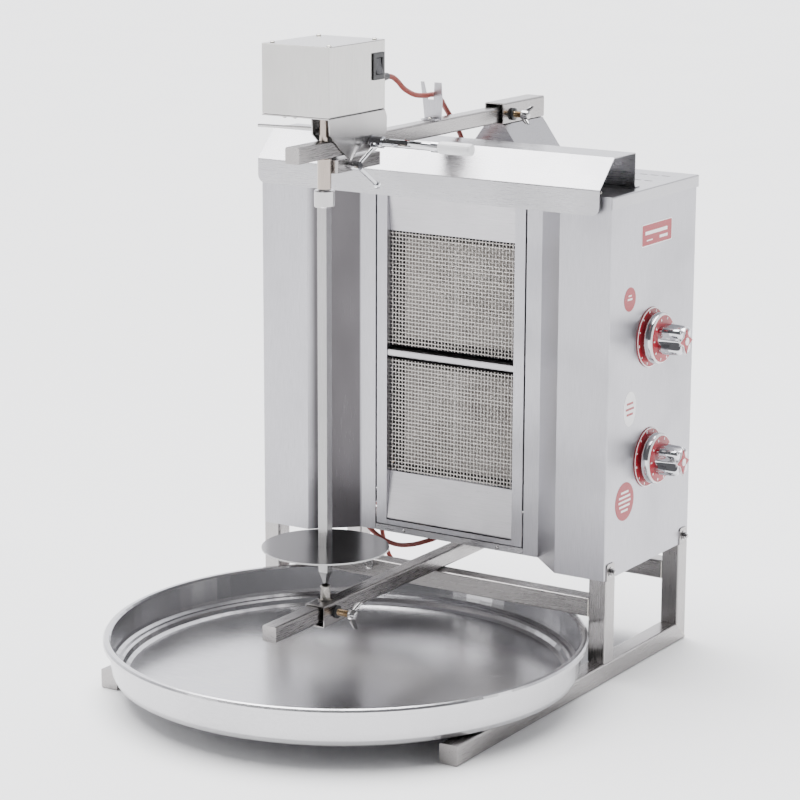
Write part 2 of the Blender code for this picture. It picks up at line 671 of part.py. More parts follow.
def make_arm_supports():
    """The folded bracket under the sleeve and the guide for the lower arm's tail."""
    top = UPPER_ARM_Z - 0.0018 - GAP
    floor = BODY_TOP + GAP
    half = SLEEVE / 2
    flare = 0.0405
    path = [(SLEEVE_X - half - flare - 0.008, floor), (SLEEVE_X - half - flare, floor),
            (SLEEVE_X - half, top), (SLEEVE_X + half, top), (SLEEVE_X + half + flare, floor),
            (SLEEVE_X + half + flare + 0.008, floor)]
    bracket_outline = folded_sheet(path, SHEET * 1.25)
    bracket = prism("sleeve_bracket", lifted(bracket_outline, floor), "Y", SLEEVE_Y[0] + 0.002, SLEEVE_Y[1] - 0.003,
                    "brushed_steel", 40)
    face_y = SLEEVE_Y[0] + 0.002
    face = [(SLEEVE_X - half - flare + 0.004, floor + 0.003), (SLEEVE_X + half + flare - 0.004, floor + 0.003),
            (SLEEVE_X + half - 0.0005, top - 0.0010), (SLEEVE_X - half + 0.0005, top - 0.0010)]
    join(bracket, prism("bracket_face", face, "Y", face_y, face_y + 0.0015, None))

    guide_floor = CROSSBAR_Z + TUBE + GAP
    inner = ARM / 2 + 0.0006
    ceiling = LOWER_ARM_Z + ARM + 0.0006
    wall = 0.0015
    rear_y = BASE_BACK - TUBE
    outer = inner + wall
    half_profile = [(outer + 0.010, guide_floor), (inner, guide_floor), (inner, ceiling)]
    outside = [(outer, ceiling + wall), (outer, guide_floor + wall), (outer + 0.010, guide_floor + wall)]
    outline = [(ARM_X - a, b) for a, b in half_profile] + [(ARM_X + a, b) for a, b in reversed(half_profile)]
    outline += [(ARM_X + a, b) for a, b in reversed(outside)] + [(ARM_X - a, b) for a, b in outside]
    prism("lower_arm_guide", outline, "Y", rear_y + 0.001, rear_y + TUBE - 0.003, "tube_steel")


def lifted(outline, floor):
    """Raise any point of an outline that is below the floor it stands on."""
    lowest = min(b for _, b in outline)
    return [(a, b + floor - lowest) if b < floor + 0.0005 else (a, b) for a, b in outline]


# ---------------------------------------------------------------- motor head
def make_head():
    make_saddle()
    make_motor()
    make_levers()
    make_handle()
    make_cord_clip()


def make_saddle():
    """The plate under the motor with two cheeks that straddle the arm."""
    inner = SADDLE_GAP / 2
    centre = MOTOR_X[1] - SADDLE_PLATE - inner
    roof = MOTOR_Z[0] - GAP
    path = [(MOTOR_X[0], roof), (MOTOR_X[1], roof), (MOTOR_X[1], roof - 0.008)]
    saddle = prism("head_saddle", folded_sheet(path, SADDLE_PLATE), "Y", MOTOR_Y[0], MOTOR_Y[1],
                   "brushed_steel", 40)
    cheek = [(MOTOR_Y[0] + 0.0003, roof - 0.0012), (-0.1375, 0.711), (-0.0955, 0.6766), (-0.0920, 0.6768),
             (-0.0690, 0.6920), (-0.0500, 0.7000), (-0.0170, 0.7002),
             (-0.0127, 0.7042), (-0.0125, 0.7220), (-0.0169, roof - 0.0012)]
    for low in (centre + inner, centre - inner - SADDLE_PLATE):
        plate = prism("saddle_cheek", cheek, "X", low, low + SADDLE_PLATE, None)
        join(saddle, plate)
    cut_round(saddle, "Z", (ARM_X, SPIT_Y), 0.0075, roof - 0.01, roof + 0.01, 20)
    cut_box(saddle, (centre - inner - 0.004, -0.1155, 0.7075), (centre - inner + 0.002, -0.1085, 0.7200))
    return saddle


def make_motor():
    """A folded cover over the gear motor, with the rocker switch and the cord gland."""
    low = (MOTOR_X[0], MOTOR_Y[0], MOTOR_Z[0])
    high = (MOTOR_X[1], MOTOR_Y[1], MOTOR_Z[1])
    cover = box("motor_cover", low, high, "polished_steel", 0.0012, 2)
    wall = 0.0015
    cut_box(cover, (low[0] + wall, low[1] + wall, low[2] - 0.01), (high[0] - wall, high[1] - wall, high[2] - wall))
    bezel_y, bezel_z = -0.0330, 0.7850
    cut_box(cover, (high[0] - 0.01, bezel_y - 0.0100, bezel_z - 0.0135),
            (high[0] + 0.01, bezel_y + 0.0100, bezel_z + 0.0135))
    gland_x, gland_z = 0.005, 0.7685
    cut_round(cover, "Y", (gland_x, gland_z), 0.0062, high[1] - 0.01, high[1] + 0.01, 16)

    motor_low = MOTOR_Z[0] + GAP
    block = box("gear_motor", (-0.0700, -0.1340, motor_low), (0.0145 - 0.003, -0.0600, motor_low + 0.040), "dark_steel",
                0.003, 2)
    can = turned("motor_can", [(motor_low + 0.038, 0.024), (motor_low + 0.068, 0.024), (motor_low + 0.072, 0.020)],
                 "Z", (-0.034, -0.094, 0), None, 24)
    join(block, can)
    cut_round(block, "Z", (ARM_X, SPIT_Y), 0.0064, motor_low - 0.01, motor_low + 0.020, 20)

    face = high[0]
    bezel = box("switch_bezel", (face - 0.012, bezel_y - 0.0095, bezel_z - 0.0130),
                (face - GAP, bezel_y + 0.0095, bezel_z + 0.0130), "black_plastic")
    rim = box("switch_rim", (face + GAP, bezel_y - 0.0125, bezel_z - 0.0165),
              (face + 0.0022, bezel_y + 0.0125, bezel_z + 0.0165), None, 0.0008, 2)
    neck = box("switch_neck", (face - 0.001, bezel_y - 0.0095, bezel_z - 0.0130),
               (face + 0.001, bezel_y + 0.0095, bezel_z + 0.0130), None)
    join(bezel, neck)
    join(bezel, rim)
    cut_box(bezel, (face - 0.0085, bezel_y - 0.0068, bezel_z - 0.0105), (face + 0.01, bezel_y + 0.0068, bezel_z + 0.0105))
    pivot = (face - 0.0010, bezel_y, bezel_z)
    rocker = [(-0.0050, -0.0080), (0.0046, -0.0094), (0.0022, 0.0), (0.0012, 0.0094), (-0.0050, 0.0080)]
    outline = [(pivot[0] + x, pivot[2] + z) for x, z in rocker]
    prism("power_rocker", outline, "Y", bezel_y - 0.0064, bezel_y + 0.0064, "black_plastic", 50, pivot)

    back = high[1]
    gland = turned("cord_gland",
                   [(back - 0.006, 0.0058), (back + GAP, 0.0058), (back + GAP, 0.0090), (back + 0.0055, 0.0085),
                    (back + 0.0060, 0.0062), (back + 0.0220, 0.0042)],
                   "Y", (gland_x, 0, gland_z), "black_plastic", 16)
    return gland


def make_levers():
    """The thin release lever, the clamp bar and the two-armed clamp screw."""
    lever_y, lever_z = -0.112, 0.7135
    path = [(-0.1060, lever_z - 0.0010), (-0.0200, lever_z + 0.0008), (-0.0080, lever_z + 0.0004),
            (-0.0030, lever_z - 0.0020), (0.0020, lever_z - 0.0058)]
    lever = rod_through("release_lever", [(x, lever_y, z) for x, z in path], 0.0022, "polished_steel")
    pin = turned("lever_pin", [(lever_y - 0.005, 0.0036), (lever_y + 0.005, 0.0036)], "Y",
                 (-0.0035, 0, lever_z - 0.0015), None, 14)
    join(lever, pin)

    bar_low, bar_high = 0.6630, 0.6790
    outline = rounded([(ARM_X - 0.0095, -0.1190), (ARM_X + 0.0095, -0.1190),
                       (ARM_X + 0.0095, -0.0190), (ARM_X - 0.0095, -0.0190)], 0.004)
    bar = prism("clamp_bar", outline, "Z", bar_low, bar_high, "tube_steel", 40)
    cut_round(bar, "X", (-0.0880, 0.6700), 0.0034, ARM_X - 0.02, ARM_X + 0.02, 12)

    hub_y, hub_z = -0.0880, 0.6700
    face = MOTOR_X[1] + GAP
    hub = turned("clamp_lever", [(ARM_X - 0.0060, 0.0030), (face, 0.0030), (face, 0.0055), (face + 0.0100, 0.0055)],
                 "X", (0, hub_y, hub_z), "polished_steel", 16)
    for reach_y, reach_z in ((0.0275, 0.0206), (0.0350, -0.0270)):
        start = (face + 0.0055, hub_y, hub_z)
        end = (face + 0.0115, hub_y + reach_y, hub_z + reach_z)
        arm = rod_through("lever_arm", [start, end], 0.0026, None)
        join(hub, arm)
        ball = ball_at("lever_ball", end, 0.0048)
        join(hub, ball)


def rod_through(name, points, radius, finish, sides=10):
    """A round rod swept through the points, with flat ends."""
    bm = bmesh.new()
    route = [Vector(p) for p in points]
    rings = []
    for i, point in enumerate(route):
        ahead = route[min(i + 1, len(route) - 1)] - route[max(i - 1, 0)]
        ahead.normalize()
        side = ahead.cross(Vector((0, 1, 0)))
        if side.length < 0.2:
            side = ahead.cross(Vector((0, 0, 1)))
        side.normalize()
        rise = side.cross(ahead)
        rings.append([bm.verts.new(point + side * radius * math.cos(2 * math.pi * k / sides)
                                   + rise * radius * math.sin(2 * math.pi * k / sides))
                      for k in range(sides)])
    for low, high in zip(rings, rings[1:]):
        for k in range(sides):
            j = (k + 1) % sides
            bm.faces.new((low[k], low[j], high[j], high[k]))
    bm.faces.new(rings[0])
    bm.faces.new(rings[-1])
    return place_mesh(name, bm, finish, 40)


def ball_at(name, centre, radius):
    bm = bmesh.new()
    bmesh.ops.create_uvsphere(bm, u_segments=12, v_segments=8, radius=radius)
    for vert in bm.verts:
        vert.co += Vector(centre)
    return place_mesh(name, bm, None, 40)


def make_handle():
    """The side handle that is nutted to the arm, and its white grip."""
    y, z = -0.0470, 0.6945
    face = ARM_X + ARM / 2 + GAP
    nut = MOTOR_X[1] + GAP
    turned("handle_rod",
           [(face, 0.0035), (nut, 0.0035), (nut, 0.0085), (nut + 0.0022, 0.0085), (nut + 0.0022, 0.0074),
            (0.0330, 0.0074), (0.0335, 0.0052), (0.1030, 0.0052), (0.1035, 0.0067), (0.1138, 0.0067)],
           "X", (0, y, z), "chrome", 16)
    turned("handle_grip",
           [(0.1141, 0.0070), (0.1160, 0.0077), (0.1560, 0.0077), (0.1590, 0.0066)],
           "X", (0, y, z), "white_plastic", 20)


def make_cord_clip():
    """A forked sheet clip that carries the cord over the arm."""
    y = 0.1150
    base = UPPER_ARM_Z + ARM + GAP
    low_x, high_x = -0.0090, 0.0160
    outline = [(low_x, base), (high_x, base), (high_x + 0.001, base + 0.026), (high_x - 0.0005, base + 0.047),
               (high_x - 0.0105, base + 0.047), (high_x - 0.0115, base + 0.025), (low_x + 0.0045, base + 0.025),
               (low_x - 0.0015, base + 0.047), (low_x - 0.0060, base + 0.047), (low_x - 0.0025, base + 0.022)]
    clip = prism("cord_clip", outline, "Y", y, y + 0.0015, "brushed_steel")
    foot = box("clip_foot", (low_x + 0.002, y - 0.012, base), (high_x - 0.002, y + 0.0005, base + 0.0015), None)
    join(clip, foot)


# ---------------------------------------------------------------- spit
def make_spit():
    """Drive shaft, coupling collar, square spit and the meat disk."""
    shaft_top = MOTOR_Z[0] + 0.018
    turned("drive_shaft",
           [(0.6460, 0.0085), (UPPER_ARM_Z - 0.0012, 0.0085), (UPPER_ARM_Z - 0.0012, 0.0058), (shaft_top, 0.0058)],
           "Z", (ARM_X, SPIT_Y, 0), "polished_steel", 20)
    low, high = COLLAR_Z
    collar = turned("drive_collar",
                    [(low, 0.0115), (low + 0.0015, 0.0125), (high - 0.0015, 0.0125), (high, 0.0115)],
                    "Z", (ARM_X, SPIT_Y, 0), "polished_steel", 24)
    half = SPIT_SIDE / 2
    clear = half + 0.0005
    cut_box(collar, (ARM_X - clear, SPIT_Y - clear, low - 0.01), (ARM_X + clear, SPIT_Y + clear, high + 0.01))

    bm = bmesh.new()
    levels = [(0.1512, 0.0018), (0.1606, 0.0044), (0.1680, half), (0.6450, half)]
    rings = []
    for z, reach in levels:
        rings.append([bm.verts.new((ARM_X + sx * reach, SPIT_Y + sy * reach, z))
                      for sx, sy in ((-1, -1), (1, -1), (1, 1), (-1, 1))])
    for low_ring, high_ring in zip(rings, rings[1:]):
        for k in range(4):
            j = (k + 1) % 4
            bm.faces.new((low_ring[k], low_ring[j], high_ring[j], high_ring[k]))
    bm.faces.new(rings[0])
    bm.faces.new(rings[-1])
    spit = place_mesh("spit", bm, "polished_steel", None, (ARM_X, SPIT_Y, DISK_Z))
    round_edges(spit, 0.0008, 1)
    stop = box("spit_stop", (ARM_X - half - 0.0018, SPIT_Y - 0.0022, DISK_Z - 0.0062),
               (ARM_X + half + 0.0018, SPIT_Y + 0.0022, DISK_Z - 0.0014), None)
    join(spit, stop)

    disk = turned("meat_disk", [(DISK_Z - 0.0010, DISK_R), (DISK_Z + 0.0010, DISK_R)],
                  "Z", (ARM_X, SPIT_Y, 0), "polished_steel", 64)
    cut_box(disk, (ARM_X - clear, SPIT_Y - clear, DISK_Z - 0.01), (ARM_X + clear, SPIT_Y + clear, DISK_Z + 0.01))


# ---------------------------------------------------------------- power cord
def smooth_route(points, spacing):
    """Points at an even spacing along a Catmull-Rom curve through the route."""
    route = [Vector(p) for p in points]
    ends = [route[0] * 2 - route[1]] + route + [route[-1] * 2 - route[-2]]
    fine = []
    for i in range(1, len(ends) - 2):
        before, start, end, after = ends[i - 1:i + 3]
        for k in range(16):
            t = k / 16
            fine.append(0.5 * ((2 * start) + (end - before) * t
                               + (2 * before - 5 * start + 4 * end - after) * t * t
                               + (3 * start - before - 3 * end + after) * t * t * t))
    fine.append(route[-1])
    total = sum((b - a).length for a, b in zip(fine, fine[1:]))
    count = round(total / spacing)
    result = [fine[0]]
    walked, index = 0.0, 0
    for step in range(1, count):
        wanted = total * step / count
        while walked + (fine[index + 1] - fine[index]).length < wanted:
            walked += (fine[index + 1] - fine[index]).length
            index += 1
        run = fine[index + 1] - fine[index]
        result.append(fine[index] + run * ((wanted - walked) / run.length))
    result.append(fine[-1])
    return result


# Out of the gland, over the clip, down the back, once over the rear crossbar and to the coil.
CORD_ROUTE = [
    (0.0050, 0.0064, 0.7685), (0.0050, 0.0180, 0.7660), (0.0048, 0.0310, 0.7590), (0.0040, 0.0460, 0.7490),
    (0.0030, 0.0720, 0.7390), (0.0015, 0.1000, 0.7352), (-0.0010, 0.1240, 0.7338),
    (-0.0075, 0.1500, 0.7260), (-0.0140, 0.1750, 0.7100), (-0.0175, 0.2000, 0.6900),
    (-0.0210, 0.2240, 0.6690), (-0.0310, 0.2450, 0.6500), (-0.0490, 0.2620, 0.6375),
    (-0.0680, 0.2830, 0.6330), (-0.0800, 0.3060, 0.6345), (-0.0860, 0.3250, 0.6352),
    (-0.0875, 0.3366, 0.6350), (-0.0880, 0.3469, 0.6329), (-0.0880, 0.3557, 0.6271), (-0.0880, 0.3615, 0.6183),
    (-0.0880, 0.3636, 0.6070), (-0.0880, 0.3632, 0.5850), (-0.0875, 0.3600, 0.5300),
    (-0.0870, 0.3560, 0.4400), (-0.0870, 0.3550, 0.3400), (-0.0870, 0.3550, 0.2400), (-0.0870, 0.3550, 0.1850),
    (-0.0870, 0.3550, 0.1580), (-0.0870, 0.3547, 0.1430), (-0.0870, 0.3525, 0.1322), (-0.0870, 0.3468, 0.1236),
    (-0.0870, 0.3383, 0.1180), (-0.0870, 0.3280, 0.1157), (-0.0872, 0.3178, 0.1135), (-0.0882, 0.3088, 0.1086),
    (-0.0918, 0.3006, 0.1008), (-0.1004, 0.2937, 0.0934), (-0.1135, 0.2902, 0.0878),
    (-0.1350, 0.2900, 0.0800), (-0.1600, 0.2920, 0.0755), (-0.1840, 0.2940, 0.0790),
    (-0.2045, 0.2962, 0.0880), (-0.2160, 0.2990, 0.0955), (-0.2255, 0.3052, 0.1030), (-0.2320, 0.3145, 0.1100),
    (-0.2345, 0.3262, 0.1155), (-0.2350, 0.3380, 0.1176), (-0.2352, 0.3483, 0.1158), (-0.2352, 0.3571, 0.1100),
    (-0.2352, 0.3627, 0.1012), (-0.2350, 0.3646, 0.0905), (-0.2335, 0.3655, 0.0700), (-0.2280, 0.3680, 0.0430),
    (-0.2160, 0.3730, 0.0200), (-0.1950, 0.3815, 0.0075), (-0.1700, 0.3910, FLOOR_CORD_Z),
    (-0.1450, 0.3980, FLOOR_CORD_Z), (-0.1200, 0.4024, FLOOR_CORD_Z),
]


def make_cord():
    """The free cord, its coil on the floor and the plug beside it."""
    points = smooth_route(CORD_ROUTE, 0.0165)
    curve = bpy.data.curves.new("power_cord", "CURVE")
    curve.dimensions = "3D"
    curve.bevel_depth = CORD_R
    curve.bevel_resolution = 2
    curve.render_resolution_u = 0
    curve.use_fill_caps = True
    spline = curve.splines.new("POLY")
    spline.points.add(len(points) - 1)
    for slot, point in zip(spline.points, points):
        slot.co = (*point, 1.0)
    cord = bpy.data.objects.new("power_cord", curve)
    bpy.context.scene.collection.objects.link(cord)
    curve.materials.append(finish_material("cord_rubber")("power_cord"))

    wide = COIL_HALF_WIDTH
    section = rounded(rectangle(COIL_R - wide, GAP, COIL_R + wide, COIL_HEIGHT), 0.003, 2)
    ring_solid("cord_coil", section, (COIL_X, COIL_Y, 0), "cord_rubber", 32)

    plug_y, plug_z = 0.3257, 0.0182
    profile = [(-0.1705, 0.0150), (-0.1675, 0.0172), (-0.1460, 0.0172), (-0.1400, 0.0150), (-0.1370, 0.0075),
               (-0.1100, 0.0043)]
    plug = turned("power_plug", profile, "X", (0, plug_y, plug_z), "black_plastic", 20)
    for side in (-1, 1):
        pin = turned("plug_pin", [(-0.1890, 0.0016), (-0.1875, 0.0024), (-0.1695, 0.0024)],
                     "X", (0, plug_y + side * 0.0095, plug_z), None, 12)
        join(plug, pin)


def main():
    clear_scene()
    make_stand()
    make_tray()
    make_body_shell()
    make_hood()
    make_burner_frame()
    make_reflectors()
    for word, centre_z in zip(("lower", "upper"), BURNER_Z):
        make_burner(word, centre_z)
    make_gas_line()
    for word, height in zip(("lower", "upper"), KNOB_Z):
        make_knob(word, height)
    make_arms()
    make_head()
    make_spit()
    make_cord()


main()
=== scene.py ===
import math
import random

import bmesh
import bpy
from mathutils import Matrix, Vector


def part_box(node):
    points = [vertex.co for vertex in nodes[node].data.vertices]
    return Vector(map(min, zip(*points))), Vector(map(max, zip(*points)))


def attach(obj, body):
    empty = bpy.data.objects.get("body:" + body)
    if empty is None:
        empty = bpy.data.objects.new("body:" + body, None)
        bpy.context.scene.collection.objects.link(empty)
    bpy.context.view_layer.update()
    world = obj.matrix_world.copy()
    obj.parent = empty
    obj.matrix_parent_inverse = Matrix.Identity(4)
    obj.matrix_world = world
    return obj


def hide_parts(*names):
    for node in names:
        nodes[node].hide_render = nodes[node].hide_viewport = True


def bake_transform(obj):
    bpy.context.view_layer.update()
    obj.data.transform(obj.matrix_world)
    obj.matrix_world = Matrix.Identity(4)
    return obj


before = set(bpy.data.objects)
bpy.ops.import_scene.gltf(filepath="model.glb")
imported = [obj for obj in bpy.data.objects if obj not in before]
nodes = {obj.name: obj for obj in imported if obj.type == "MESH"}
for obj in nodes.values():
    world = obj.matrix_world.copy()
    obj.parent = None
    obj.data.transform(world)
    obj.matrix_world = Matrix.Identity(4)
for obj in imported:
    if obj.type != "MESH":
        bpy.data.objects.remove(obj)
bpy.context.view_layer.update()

TUBE_SIDE = 0.025
dice = random.Random(7)

# ---------------------------------------------------------------- camera


def make_camera():
    azimuth, elevation, roll = math.radians(32.413), math.radians(13.005), math.radians(0.193)
    right = Vector((math.cos(azimuth), math.sin(azimuth), 0))
    back = Vector((math.sin(azimuth) * math.cos(elevation), -math.cos(azimuth) * math.cos(elevation),
                   math.sin(elevation)))
    up = back.cross(right)
    turned_right = right * math.cos(roll) + up * math.sin(roll)
    turned_up = up * math.cos(roll) - right * math.sin(roll)
    data = bpy.data.cameras.new("camera")
    data.lens = 124.98
    data.sensor_width = 36
    data.clip_start = 0.1
    data.clip_end = 60
    camera = bpy.data.objects.new("camera", data)
    bpy.context.scene.collection.objects.link(camera)
    matrix = Matrix((turned_right, turned_up, back)).transposed().to_4x4()
    matrix.translation = Vector((1.8507, -2.8697, 1.1489))
    camera.matrix_world = matrix
    bpy.context.scene.camera = camera


make_camera()

# ---------------------------------------------------------------- material helpers


class Nodes:
    """A short way to build a node tree."""

    def __init__(self, name, material=None):
        self.material = material or bpy.data.materials.new(name)
        self.material.use_nodes = True
        self.tree = self.material.node_tree
        self.shader = self.tree.nodes["Principled BSDF"]

    def add(self, kind, **inputs):
        node = self.tree.nodes.new(kind)
        for key, value in inputs.items():
            self.put(node, key.replace("_", " "), value)
        return node

    def put(self, node, key, value):
        socket = node.inputs[int(key)] if key.isdigit() else node.inputs[key]
        if isinstance(value, bpy.types.NodeSocket):
            self.tree.links.new(value, socket)
        else:
            socket.default_value = value

    def place(self, scale=(1, 1, 1)):
        coords = self.tree.nodes.new("ShaderNodeTexCoord")
        mapping = self.add("ShaderNodeMapping", Vector=coords.outputs["Object"], Scale=scale)
        return mapping.outputs["Vector"]

    def noise(self, scale, detail=2.0, stretch=(1, 1, 1), roughness=0.5):
        node = self.add("ShaderNodeTexNoise", Vector=self.place(stretch), Scale=scale, Detail=detail,
                        Roughness=roughness)
        return node.outputs["Fac"]

    def spread(self, value, low, high, out_low, out_high):
        node = self.add("ShaderNodeMapRange")
        node.inputs["Value"].default_value = 0.5
        self.put(node, "Value", value)
        self.put(node, "From Min", low)
        self.put(node, "From Max", high)
        self.put(node, "To Min", out_low)
        self.put(node, "To Max", out_high)
        return node.outputs["Result"]

    def mix(self, factor, first, second):
        node = self.tree.nodes.new("ShaderNodeMix")
        node.data_type = "RGBA"
        self.put(node, "0", factor)
        for socket, value in ((node.inputs[6], first), (node.inputs[7], second)):
            if isinstance(value, bpy.types.NodeSocket):
                self.tree.links.new(value, socket)
            else:
                socket.default_value = (*value, 1.0)
        return node.outputs[2]

    def bump(self, height, strength, distance):
        node = self.add("ShaderNodeBump", Height=height, Strength=strength, Distance=distance)
        self.tree.links.new(node.outputs["Normal"], self.shader.inputs["Normal"])

    def math(self, operation, first, second):
        node = self.tree.nodes.new("ShaderNodeMath")
        node.operation = operation
        self.put(node, "0", first)
        self.put(node, "1", second)
        return node.outputs[0]


GRAIN = {"X": (1, 30, 30), "Y": (30, 1, 30), "Z": (30, 30, 1)}


def steel(name, colour, rough, grain, streak=0.10, smudge=0.06, bump=0.12, anisotropy=0.3):
    """Ground stainless: fine streaks along the grain, and soft wipe marks."""
    n = Nodes(name)
    streaks = n.noise(38, 4.0, GRAIN[grain], 0.65)
    marks = n.noise(9, 3.0)
    dark = [c * 0.86 for c in colour]
    light = [min(1.0, c * 1.08) for c in colour]
    base = n.mix(n.spread(streaks, 0.3, 0.7, 0, 1), dark, light)
    stained = n.mix(n.spread(marks, 0.52, 0.72, 0, 0.35), base, [c * 0.80 for c in colour])
    n.put(n.shader, "Base Color", stained)
    n.shader.inputs["Metallic"].default_value = 1.0
    base_rough = n.spread(streaks, 0.25, 0.75, rough - streak / 2, rough + streak / 2)
    n.put(n.shader, "Roughness", n.math("ADD", base_rough, n.spread(marks, 0.45, 0.75, 0, smudge)))
    n.shader.inputs["Anisotropic"].default_value = anisotropy
    n.bump(streaks, bump, 0.0002)
    return n.material


def polished(name, colour, rough=0.08, marks=0.05):
    """Bright metal with faint handling marks."""
    n = Nodes(name)
    fine = n.noise(160, 3.0)
    broad = n.noise(14, 3.0)
    base = n.mix(n.spread(broad, 0.35, 0.7, 0, 1), [c * 0.93 for c in colour], colour)
    n.put(n.shader, "Base Color", base)
    n.shader.inputs["Metallic"].default_value = 1.0
    n.put(n.shader, "Roughness", n.math("ADD", n.spread(broad, 0.4, 0.75, rough, rough + marks),
                                        n.spread(fine, 0.4, 0.8, 0, marks / 2)))
    n.bump(fine, 0.05, 0.0001)
    return n.material


def plastic(name, colour, rough=0.4, texture=900, bump=0.15):
    """Moulded plastic or rubber with a fine matt grain."""
    n = Nodes(name)
    grain = n.noise(texture, 2.0)
    broad = n.noise(25, 2.0)
    n.put(n.shader, "Base Color", n.mix(n.spread(broad, 0.35, 0.7, 0, 1), [c * 0.85 for c in colour], colour))
    n.put(n.shader, "Roughness", n.spread(grain, 0.3, 0.7, rough - 0.06, rough + 0.08))
    n.bump(grain, bump, 0.00015)
    return n.material


def tile_material(word):
    """Perforated ceramic with a bright joint in the middle and shaded margins."""
    low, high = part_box(word + "_tiles")
    n = Nodes(word + "_ceramic")
    cells = n.add("ShaderNodeTexVoronoi", Vector=n.place((1, 0.05, 1)), Scale=420.0, Randomness=0.25)
    broad = n.noise(18, 3.0)
    holes = n.spread(cells.outputs["Distance"], 0.18, 0.42, 0, 1)
    plain = n.mix(n.spread(broad, 0.35, 0.65, 0, 1), (0.33, 0.305, 0.28), (0.46, 0.43, 0.40))
    pitted = n.mix(holes, (0.14, 0.125, 0.115), plain)
    split = n.add("ShaderNodeSeparateXYZ", Vector=n.place())
    from_joint = n.math("ABSOLUTE", split.outputs["X"], 0.0)
    joint = n.spread(from_joint, 0.0011, 0.0019, 1, 0)
    jointed = n.mix(joint, pitted, (0.90, 0.88, 0.86))
    left = n.spread(split.outputs["X"], -0.0785, -0.0765, 1, 0)
    bottom = n.spread(split.outputs["Z"], low.z + 0.0095, low.z + 0.0115, 1, 0)
    top = n.spread(split.outputs["Z"], high.z - 0.0070, high.z - 0.0050, 0, 1)
    margin = n.math("MAXIMUM", left, n.math("MAXIMUM", bottom, top))
    n.put(n.shader, "Base Color", n.mix(margin, jointed, (0.055, 0.050, 0.047)))
    n.shader.inputs["Roughness"].default_value = 0.9
    n.bump(holes, 0.5, 0.0006)
    return n.material


def panel_with_painted_reflection(name, colour, rough):
    """Ground sheet whose slanted wall beside the burners is darkened in colour: a painted dark reflection."""
    material = steel(name, colour, rough, "Z")
    n = Nodes(name, material)
    # Painted dark reflection: this mask picks the slanted wall beside the burners.
    split = n.add("ShaderNodeSeparateXYZ", Vector=n.place())
    inward = n.spread(split.outputs["X"], -0.1990, -0.1900, 0, 1)
    behind = n.spread(split.outputs["Y"], 0.1160, 0.1220, 0, 1)
    ahead = n.spread(split.outputs["Y"], 0.1630, 0.1645, 1, 0)
    painted_reflection_mask = n.math("MULTIPLY", inward, n.math("MULTIPLY", behind, ahead))
    unpainted_steel = n.shader.inputs["Base Color"].links[0].from_socket
    cloud = n.noise(6, 3.0, (1, 1, 0.4))
    # Painted dark reflection colour, mottled by the noise above.
    painted_dark_reflection = n.mix(n.spread(cloud, 0.3, 0.7, 0, 1), (0.075, 0.070, 0.074), (0.14, 0.133, 0.14))
    n.put(n.shader, "Base Color", n.mix(painted_reflection_mask, unpainted_steel, painted_dark_reflection))
    return material


def floor_material():
    n = Nodes("floor_paint")
    cloud = n.noise(2.0, 2.0)
    paint_colour = n.mix(n.spread(cloud, 0.3, 0.7, 0, 1), (0.865, 0.865, 0.87), (0.88, 0.88, 0.885))
    n.put(n.shader, "Base Color", paint_colour)
    n.put(n.shader, "Roughness", n.spread(cloud, 0.3, 0.7, 0.80, 0.86))
    return n.material


def label_material(name, colour, paper=(0.86, 0.85, 0.86)):
    """Printed film, slightly glossy, with fine print mottling."""
    n = Nodes(name)
    speckle = n.noise(700, 2.0)
    n.put(n.shader, "Base Color", n.mix(n.spread(speckle, 0.62, 0.85, 0, 0.35), colour, paper))
    n.put(n.shader, "Roughness", n.spread(speckle, 0.3, 0.7, 0.28, 0.42))
    return n.material


SHEET_Z = steel("sheet_upright_grain", (0.43, 0.425, 0.45), 0.30, "Z")
LEFT_SIDE = panel_with_painted_reflection("left_sheet", (0.43, 0.425, 0.45), 0.30)
SIDE = steel("side_sheet", (0.44, 0.435, 0.46), 0.33, "Z", 0.12, 0.10)
SHEET_X = steel("sheet_level_grain", (0.44, 0.435, 0.45), 0.27, "X")
REFLECTOR = steel("reflector_sheet", (0.46, 0.45, 0.465), 0.30, "X")
TUBE_Y = steel("tube_along_y", (0.36, 0.345, 0.34), 0.27, "Y", 0.14)
TUBE_X = steel("tube_along_x", (0.36, 0.345, 0.34), 0.27, "X", 0.14)
TUBE_Z = steel("tube_upright", (0.38, 0.365, 0.36), 0.27, "Z", 0.14)
COVER = steel("motor_cover_steel", (0.52, 0.51, 0.495), 0.17, "Z", 0.05, 0.05, 0.05)
SADDLE = steel("saddle_steel", (0.44, 0.43, 0.425), 0.22, "Z", 0.06, 0.06, 0.06)
TRAY = steel("tray_steel", (0.60, 0.595, 0.61), 0.21, "X", 0.05, 0.05, 0.04, 0.1)
DARK = steel("heated_steel", (0.20, 0.19, 0.19), 0.42, "X")
BRIGHT = polished("bright_steel", (0.48, 0.47, 0.47), 0.13)
CHROME = polished("chrome_plate", (0.58, 0.58, 0.60), 0.05, 0.03)
NICKEL = polished("nickel_plate", (0.44, 0.42, 0.39), 0.16)
BRASS = polished("turned_brass", (0.48, 0.36, 0.23), 0.22)
WIRE = polished("screen_wire", (0.60, 0.57, 0.54), 0.30)
SPIT_STEEL = steel("spit_steel", (0.32, 0.315, 0.315), 0.16, "Z", 0.05, 0.05, 0.05)
DRIVE_STEEL = steel("drive_steel", (0.38, 0.33, 0.29), 0.20, "Z", 0.06, 0.05, 0.05)
LOWER_CLAY = tile_material("lower")
UPPER_CLAY = tile_material("upper")
BLACK = plastic("black_moulding", (0.022, 0.022, 0.024), 0.38)
GREY_KEY = plastic("rocker_moulding", (0.07, 0.07, 0.075), 0.28)
CORD = plastic("silicone_cord", (0.26, 0.045, 0.032), 0.50, 1400, 0.1)
WHITE = plastic("white_moulding", (0.84, 0.84, 0.85), 0.28)
RED = label_material("red_print", (0.33, 0.004, 0.016))
PAPER = label_material("white_print", (0.86, 0.85, 0.86))

